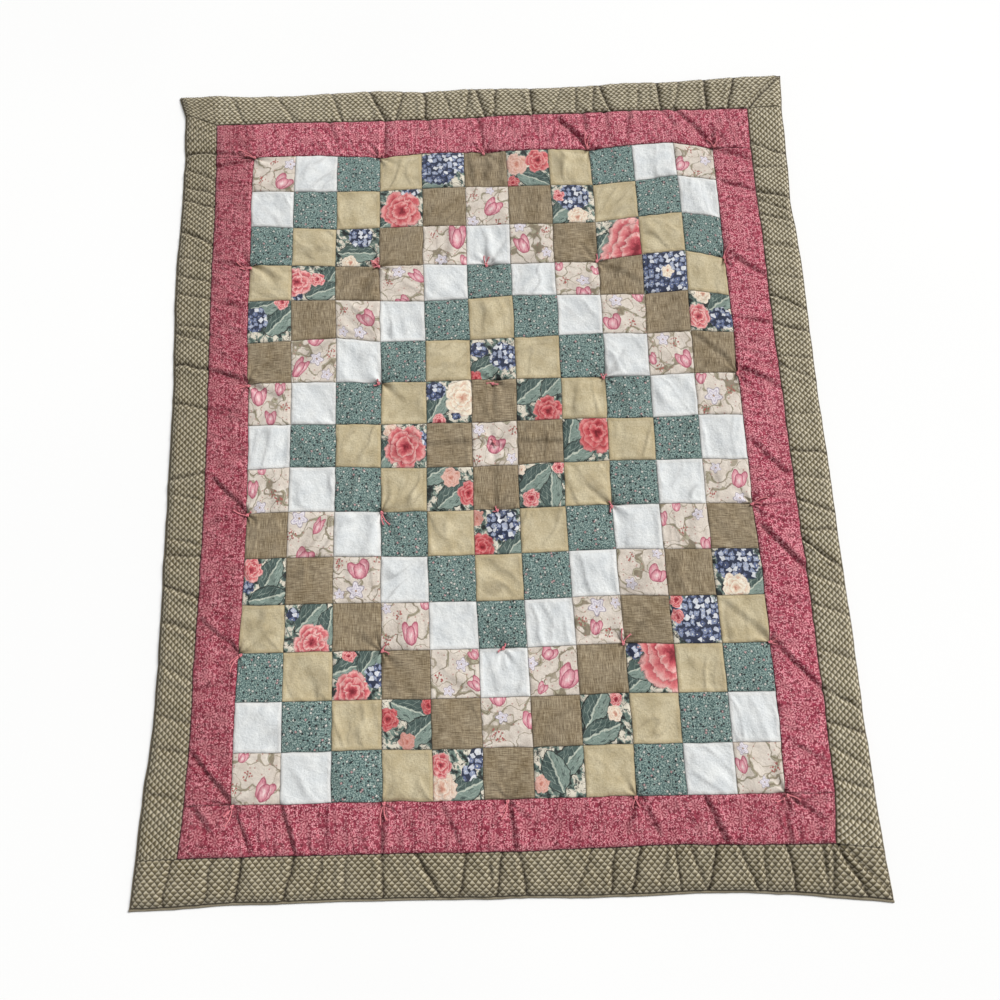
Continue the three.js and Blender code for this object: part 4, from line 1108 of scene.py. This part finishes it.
def olive_check(name, sideways):
    """The check: a lattice of diamonds, each shaded from olive at its foot to tan at its head."""
    fabric = Fabric(name)
    x, y = fabric.cloth()
    wander = (fabric.clouds(x, y, 12, 1.0, 2.0) - 0.5) * 1.6
    across, along = (y + wander, x - wander) if sideways else (x + wander, y - wander)
    uneven = (fabric.clouds(x, y, 3.4, 2.0, 6.0) - 0.5) * 0.5
    rising = (across / CHECK_WIDTH + along / CHECK_HEIGHT).part()
    falling = (across / CHECK_WIDTH - along / CHECK_HEIGHT).part()
    # Up the diamond from 0 to 1, and how near its sides a point is.
    up = (rising + 1 - falling) * 0.5
    colour = fabric.shades(
        up + uneven * 0.5,
        (0.3, ink(98, 88, 62)), (0.45, ink(136, 125, 97)), (0.57, ink(204, 194, 169)),
        (0.85, ink(222, 213, 190)),
    )
    side = rising.lower(1 - rising).lower(falling).lower(1 - falling) + uneven * 0.3
    broken = fabric.clouds(x, y, 9, 1.0, 14.0).ramp(0.5, 0.7) * 0.5
    line = side.within(0.03, 0.14) * (1 - broken)
    colour = fabric.over(colour, ink(66, 56, 38), line * 0.9)
    faded = fabric.clouds(x, y, 3, 2.0, 9.0)
    colour = fabric.over(colour, ink(124, 114, 88), faded.ramp(0.45, 0.7) * 0.25)
    # Painted shade: the left side and the foot end are darkened, as the sides turned from the window
    # light.
    painted_side_shade = x.within(-ROSE_X - 8, -ROSE_X + 8).higher(y.within(-ROSE_Y - 8, -ROSE_Y + 8))
    colour = fabric.over(colour, ink(200, 196, 186), painted_side_shade * 0.5, "MULTIPLY")
    return fabric.finish(worn_and_shaded(fabric, x, y, colour, 0.07), weave(fabric, x, y), 0.001)


def olive_strip(side):
    """How far from the middle an olive strip's seam and edge are."""
    seam, edge = (ROSE_Y, EDGE_Y) if side in ("top", "bottom") else (ROSE_X, EDGE_X)
    return seam + SEAM_GAP / 2, edge - LIP[side]


END_CHECK = olive_check("olive_check_ends", False)
SIDE_CHECK = olive_check("olive_check_sides", True)
for number, side in enumerate(SIDES):
    is_end = side in ("top", "bottom")
    if is_end:
        low, high = -EDGE_X + LIP["left"], EDGE_X - LIP["right"]
    else:
        low, high = -ROSE_Y + SEAM_GAP / 2, ROSE_Y - SEAM_GAP / 2
    creases = OLIVE_CREASES[side]
    patch = strip_patch(side, low, high, *olive_strip(side), OLIVE_LUCK + number, creases)
    strip = sew("olive_border_" + side, [patch], END_CHECK if is_end else SIDE_CHECK)
    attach(strip, "root")
    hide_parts("olive_strip_" + side)


# ---------------------------------------------------------------------------------------------
# The backing: one plain greyish beige cotton sheet under everything. It was sewn to the top right
# sides together and turned out, and it rolls forward a little, so a narrow lip of it shows.
# ---------------------------------------------------------------------------------------------
BACKING_THICKNESS = 1.2
BACKING_STEP = 12
BACKING_MARGIN = 14  # how far in from the edge the even steps begin
LIP_ROLL = 0.42  # how high the rolled lip stands for its width
RIM_STEPS = [0, 0.5, 1.2, 2.2, 3.4, 4.8, 6.5, 9]


def backing_cotton():
    fabric = Fabric("backing_cotton")
    x, y = fabric.cloth()
    threads = fabric.clouds(x * 5, y, 7, 2.0, 3.0) + fabric.clouds(x, y * 5, 7, 2.0, 4.0)
    colour = fabric.shades(threads * 0.5, (0.35, ink(122, 112, 92)), (0.65, ink(150, 140, 118)))
    return fabric.finish(worn_and_shaded(fabric, x, y, colour, 0.1), weave(fabric, x, y), 0.0014)


def backing_sheet():
    """The sheet on its ruled grid, flat but for the lip that rolls up past the olive strips."""
    spans = []
    for edge in (EDGE_X, EDGE_Y):
        rim = np.array(RIM_STEPS)
        span = np.arange(-edge + BACKING_MARGIN, edge - BACKING_MARGIN + 1, BACKING_STEP)
        spans.append(np.concatenate([-edge + rim, span, edge - rim[::-1]]))
    x, y = np.meshgrid(*spans)
    lie_x, lie_y = lie(x, y)
    top = np.full(x.shape, BACKING_THICKNESS)
    inward = {"top": EDGE_Y - y, "bottom": EDGE_Y + y, "left": EDGE_X + x, "right": EDGE_X - x}
    for side, distance in inward.items():
        share = np.clip(distance / LIP[side], 0, 1)
        rolled = BACKING_THICKNESS + LIP_ROLL * LIP[side] * np.sin(np.pi * share)
        top = np.maximum(top, rolled)
    rows, columns = x.shape
    grid = np.arange(rows * columns).reshape(rows, columns)
    tops = np.stack([lie_x, lie_y, top], -1).reshape(-1, 3)
    unders = np.stack([lie_x, lie_y, 0 * top], -1).reshape(-1, 3)
    quads = np.stack([grid[:-1, :-1], grid[:-1, 1:], grid[1:, 1:], grid[1:, :-1]], -1).reshape(-1, 4)
    rim = np.concatenate([grid[0, :-1], grid[:-1, -1], grid[-1, :0:-1], grid[:0:-1, 0]])
    next_rim = np.roll(rim, -1)
    down = rows * columns
    walls = np.stack([rim, rim + down, next_rim + down, next_rim], -1)
    faces = quads.tolist() + (quads[:, ::-1] + down).tolist() + walls.tolist()
    ruled = np.tile(np.stack([x, y], -1).reshape(-1, 2), (2, 1))
    corners = np.concatenate([tops, unders])
    return cut_cloth("quilt_backing", corners, faces, ruled, backing_cotton())


backing = backing_sheet()
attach(backing, "root")
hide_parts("backing")


# ---------------------------------------------------------------------------------------------
# The ties: rose embroidery floss taken down through all the layers on every third seam and up
# again, tied in a tight knot and cut, so two twisted ends lie on the cloth.
# ---------------------------------------------------------------------------------------------
PLY_RADIUS = 0.68
PLY_TWIST = 9.0  # the length of one turn of the plies
PLIES = 3
PLY_SPREAD = 0.6  # how far each ply lies from the middle of its end
FRAY = 1.3  # how much further apart the plies are where they are cut
LIE_CLOSE = 1.3  # how far an end's middle is over the cloth that it lies on
LAST_SHARE = 0.14  # the share of an end that is frayed
DROP = 7  # how far from its knot an end reaches the cloth
PLY_POINTS = 26
KNOT_LIFT = 2.4
KNOT_SIZE = 0.95
KNOT_RADIUS = 1.3
KNOT_POINTS = 40


def floss():
    fabric = Fabric("rose_floss", 0.6)
    x, y = fabric.place()
    strands = fabric.clouds(x, y, 1.6, 3.0, 2.0, 0.7)
    colour = fabric.shades(
        strands,
        (0.3, ink(180, 86, 98)), (0.5, ink(216, 126, 134)), (0.7, ink(238, 166, 168)),
    )
    return fabric.finish(colour, strands, 0.0003)


def surface(x, y):
    """The height of the top over the floor, where a point of the cloth has come to lie."""
    ruled_x, ruled_y = x, y
    for _ in range(4):
        lie_x, lie_y = lie(ruled_x, ruled_y)
        ruled_x, ruled_y = ruled_x + x - lie_x, ruled_y + y - lie_y
    return CLOTH_BASE + loft(ruled_x, ruled_y)[0]


def spun_along(curve, name, sizes, material, spin):
    """The plain mesh that Geometry Nodes make along a curve. The sizes are the tree's inputs, and
    spin adds the nodes from its path to its thread and gives their links."""
    tree = bpy.data.node_groups.new(name, "GeometryNodeTree")
    tree.interface.new_socket("Path", in_out="INPUT", socket_type="NodeSocketGeometry")
    for label, size in sizes.items():
        kind = "NodeSocketInt" if isinstance(size, int) else "NodeSocketFloat"
        tree.interface.new_socket(label, in_out="INPUT", socket_type=kind)
    tree.interface.new_socket("Thread", in_out="OUTPUT", socket_type="NodeSocketGeometry")
    given, made = tree.nodes.new("NodeGroupInput"), tree.nodes.new("NodeGroupOutput")
    realize = tree.nodes.new("GeometryNodeRealizeInstances")
    smooth = tree.nodes.new("GeometryNodeSetShadeSmooth")
    dress = tree.nodes.new("GeometryNodeSetMaterial")
    dress.inputs["Material"].default_value = material
    thread, links = spin(tree, given.outputs)
    links += [
        (thread, realize.inputs["Geometry"]),
        (realize.outputs["Geometry"], smooth.inputs["Geometry"]),
        (smooth.outputs["Geometry"], dress.inputs["Geometry"]),
        (dress.outputs["Geometry"], made.inputs["Thread"]),
    ]
    for out_of, into in links:
        tree.links.new(out_of, into)
    holder = put_out(name + "_path", curve)
    modifier = holder.modifiers.new("thread", "NODES")
    modifier.node_group = tree
    for item in tree.interface.items_tree:
        if item.name in sizes:
            modifier[item.identifier] = sizes[item.name]
    evaluated = holder.evaluated_get(bpy.context.evaluated_depsgraph_get())
    mesh = bpy.data.meshes.new_from_object(evaluated)
    bpy.data.objects.remove(holder)
    return mesh


def round_thread(tree, given):
    """A round thread swept along the path, closed at its cut ends."""
    ring = tree.nodes.new("GeometryNodeCurvePrimitiveCircle")
    sweep = tree.nodes.new("GeometryNodeCurveToMesh")
    sweep.inputs["Fill Caps"].default_value = True
    links = [
        (given["Radius"], ring.inputs["Radius"]),
        (given["Sides"], ring.inputs["Resolution"]),
        (given["Path"], sweep.inputs["Curve"]),
        (ring.outputs["Curve"], sweep.inputs["Profile Curve"]),
    ]
    return sweep.outputs["Mesh"], links


def new_path(name):
    """An empty curve to lay thread along."""
    path = bpy.data.curves.new(name, "CURVE")
    path.dimensions = "3D"
    return path


def add_spline(curve, points, closed=False):
    """Adds points in millimetres to a curve as one line."""
    spline = curve.splines.new("POLY")
    spline.points.add(len(points) - 1)
    flat = np.concatenate([points * MM, np.ones((len(points), 1))], 1)
    spline.points.foreach_set("co", flat.astype(np.float32).ravel())
    spline.use_cyclic_u = closed


def tie_ply(knot, angle, length, ply, number):
    """One ply of a cut end: it leaves the knot, drops to the cloth and lies along it. Ends sway to
    one side or the other by turns, and every third tie's tips stand off the cloth."""
    share = np.linspace(0, 1, PLY_POINTS)
    turn = math.radians(angle)
    sway = 0.09 * length * np.sin(math.pi * share) * (1 if number % 2 else -1)
    x = knot[0] + length * share * math.cos(turn) - sway * math.sin(turn)
    y = knot[1] + length * share * math.sin(turn) + sway * math.cos(turn)
    ground = surface(x, y)
    rise = np.maximum(0, 1 - share * length / DROP) ** 1.5
    lift = LIE_CLOSE + 1.6 * share**3 * (number % 3 == 0)
    z = ground + lift + (knot[2] - ground[0] - LIE_CLOSE) * rise
    frayed = np.clip((share - (1 - LAST_SHARE)) / LAST_SHARE, 0, 1) ** 1.5
    spread = PLY_SPREAD + FRAY * frayed
    twist = 2 * math.pi * (share * length / PLY_TWIST + ply / PLIES)
    x = x - spread * np.cos(twist) * math.sin(turn)
    y = y + spread * np.cos(twist) * math.cos(turn)
    return np.stack([x, y, z + spread * 0.8 * np.sin(twist)], -1)


FLOSS = floss()
ends, knots = new_path("ends"), new_path("knots")
for number, (across, along, dx, dy, *cut_ends) in enumerate(TIE_ROWS):
    lie_x, lie_y = lie(np.array(across * SQUARE_WIDTH), np.array(along * SQUARE_LENGTH))
    knot_x, knot_y = float(lie_x) + dx, float(lie_y) + dy
    knot_z = float(surface(np.array(knot_x), np.array(knot_y))) + KNOT_LIFT
    for angle, length in (cut_ends[:2], cut_ends[2:]):
        for ply in range(PLIES):
            add_spline(ends, tie_ply((knot_x, knot_y, knot_z), angle, length, ply, number))
    # The knot is a trefoil, pulled tight and turned the way its first end goes.
    loop = np.linspace(0, 2 * math.pi, KNOT_POINTS, endpoint=False)
    swing = math.radians(cut_ends[0])
    trefoil_x = KNOT_SIZE * (np.sin(loop) + 2 * np.sin(2 * loop))
    trefoil_y = 0.8 * KNOT_SIZE * (np.cos(loop) - 2 * np.cos(2 * loop))
    x = knot_x + trefoil_x * math.cos(swing) - trefoil_y * math.sin(swing)
    y = knot_y + trefoil_x * math.sin(swing) + trefoil_y * math.cos(swing)
    add_spline(knots, np.stack([x, y, knot_z - 0.2 - 1.1 * np.sin(3 * loop)], -1), closed=True)
end_sizes = {"Radius": PLY_RADIUS * MM, "Sides": 6}
ties = put_out("floss_ties", spun_along(ends, "ends", end_sizes, FLOSS, round_thread))
knot_sizes = {"Radius": KNOT_RADIUS * MM, "Sides": 8}
knot_loops = put_out("floss_knots", spun_along(knots, "knots", knot_sizes, FLOSS, round_thread))
with bpy.context.temp_override(
    active_object=ties, object=ties, selected_editable_objects=[ties, knot_loops]
):
    bpy.ops.object.join()
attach(ties, "root")
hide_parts(*(f"tie_{number + 1:02d}" for number in range(len(TIE_ROWS))))


# ---------------------------------------------------------------------------------------------
# The edge stitching: after turning out, the quilt was sewn once more all round just inside the
# lip, in dark thread. Each stitch sinks a little way into the padded edge.
# ---------------------------------------------------------------------------------------------
STITCH_SIZES = {"Pitch": 5.0 * MM, "Length": 3.8 * MM, "Radius": 0.6 * MM}
STITCH_INSET = 1.6
PATH_POINTS = 480  # along each side


def dark_thread():
    fabric = Fabric("dark_thread", 0.7)
    x, y = fabric.place()
    lay = fabric.clouds(x, y, 1.2, 2.0)
    colour = fabric.shades(lay, (0.35, ink(44, 36, 28)), (0.65, ink(66, 56, 44)))
    return fabric.finish(colour, lay, 0.0002)


def stitch_row(tree, given):
    """Long round stitches laid at even steps along the path."""
    places = tree.nodes.new("GeometryNodeCurveToPoints")
    places.mode = "LENGTH"
    stitch = tree.nodes.new("GeometryNodeMeshUVSphere")
    stitch.inputs["Segments"].default_value = 6
    stitch.inputs["Rings"].default_value = 4
    stitch.inputs["Radius"].default_value = 1.0
    shape = tree.nodes.new("ShaderNodeCombineXYZ")
    half = tree.nodes.new("ShaderNodeMath")
    half.operation = "MULTIPLY"
    half.inputs[1].default_value = 0.5
    lay = tree.nodes.new("GeometryNodeInstanceOnPoints")
    links = [
        (given["Path"], places.inputs["Curve"]),
        (given["Pitch"], places.inputs["Length"]),
        (given["Length"], half.inputs[0]),
        (given["Radius"], shape.inputs["X"]),
        (given["Radius"], shape.inputs["Y"]),
        (half.outputs[0], shape.inputs["Z"]),
        (places.outputs["Points"], lay.inputs["Points"]),
        (stitch.outputs["Mesh"], lay.inputs["Instance"]),
        (places.outputs["Rotation"], lay.inputs["Rotation"]),
        (shape.outputs["Vector"], lay.inputs["Scale"]),
    ]
    return lay.outputs["Instances"], links


def olive_relief(x, y):
    """The wrinkles of whichever olive strip a point is on."""
    reliefs = {}
    for number, side in enumerate(SIDES):
        is_end, creases = side in ("top", "bottom"), OLIVE_CREASES[side]
        relief = strip_relief(is_end, x, y, *olive_strip(side), OLIVE_LUCK + number, creases)
        reliefs[side] = relief[0]
    ends = np.where(y > 0, reliefs["top"], reliefs["bottom"])
    sides = np.where(x > 0, reliefs["right"], reliefs["left"])
    return np.where(np.abs(y) > ROSE_Y, ends, sides)


edge_path = new_path("edge_path")
west, east = -EDGE_X + LIP["left"] + STITCH_INSET, EDGE_X - LIP["right"] - STITCH_INSET
south, north = -EDGE_Y + LIP["bottom"] + STITCH_INSET, EDGE_Y - LIP["top"] - STITCH_INSET
edge_corners = [(west, south), (east, south), (east, north), (west, north)]
for start, end in zip(edge_corners, edge_corners[1:] + edge_corners[:1]):
    ruled_x = np.linspace(start[0], end[0], PATH_POINTS)
    ruled_y = np.linspace(start[1], end[1], PATH_POINTS)
    lie_x, lie_y = lie(ruled_x, ruled_y)
    height = CLOTH_BASE + loft(ruled_x, ruled_y, olive_relief(ruled_x, ruled_y))[0]
    add_spline(edge_path, np.stack([lie_x, lie_y, height], -1))
stitches = spun_along(edge_path, "edge_stitching", STITCH_SIZES, dark_thread(), stitch_row)
stitching = put_out("edge_stitching", stitches)
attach(stitching, "root")


# ---------------------------------------------------------------------------------------------
# The room: a plain pale floor, soft daylight from a wide window and the sky, and the camera
# standing at the foot end and looking down on the quilt.
# ---------------------------------------------------------------------------------------------
def pale_floor():
    fabric = Fabric("pale_floor", 0.8)
    x, y, _ = fabric.parts(fabric.node("TexCoord", None, None, "Object"))
    cloud = fabric.clouds(x, y, 0.9, 2.0)
    colour = fabric.shades(cloud, (0.3, ink(250, 250, 250)), (0.7, ink(252, 252, 252)))
    return fabric.finish(colour, cloud, 0.0001)


FLOOR_HALF = 6.0
FLOOR_DROP = 0.0002
floor_mesh = bpy.data.meshes.new("floor")
floor_corners = [(-1, -1), (1, -1), (1, 1), (-1, 1)]
floor_mesh.from_pydata(
    [(x * FLOOR_HALF, y * FLOOR_HALF, -FLOOR_DROP) for x, y in floor_corners], [], [(0, 1, 2, 3)]
)
floor_mesh.materials.append(pale_floor())
floor = put_out("floor", floor_mesh)

SKY_LIGHT = 0.4
SKY_COLOUR = (0.97, 0.985, 1.0, 1.0)
WINDOW_LIGHT = 3.4
WINDOW_COLOUR = (1.0, 0.99, 0.97)
WINDOW_TILT = math.radians(-54)
WINDOW_TURN = math.radians(-52)
WINDOW_SOFTNESS = math.radians(22)
world = bpy.data.worlds.new("sky")
world.use_nodes = True
sky = world.node_tree.nodes["Background"]
sky.inputs["Color"].default_value = SKY_COLOUR
sky.inputs["Strength"].default_value = SKY_LIGHT
bpy.context.scene.world = world
window_light = bpy.data.lights.new("window", "SUN")
window_light.energy = WINDOW_LIGHT
window_light.angle = WINDOW_SOFTNESS
window_light.color = WINDOW_COLOUR
window = put_out("window", window_light)
window.rotation_euler = (WINDOW_TILT, 0.0, WINDOW_TURN)

CAMERA_PLACE = (-0.0047, -0.4051, 1.4113)
CAMERA_TURN = (12.1902, -0.0208, -1.7649)
CAMERA_LENS = 27
camera_data = bpy.data.cameras.new("camera")
camera_data.lens = CAMERA_LENS
camera_data.sensor_width = 36
camera = put_out("camera", camera_data)
camera.location = CAMERA_PLACE
camera.rotation_euler = [math.radians(turn) for turn in CAMERA_TURN]
bpy.context.scene.camera = camera
bpy.context.scene.view_settings.view_transform = "Standard"
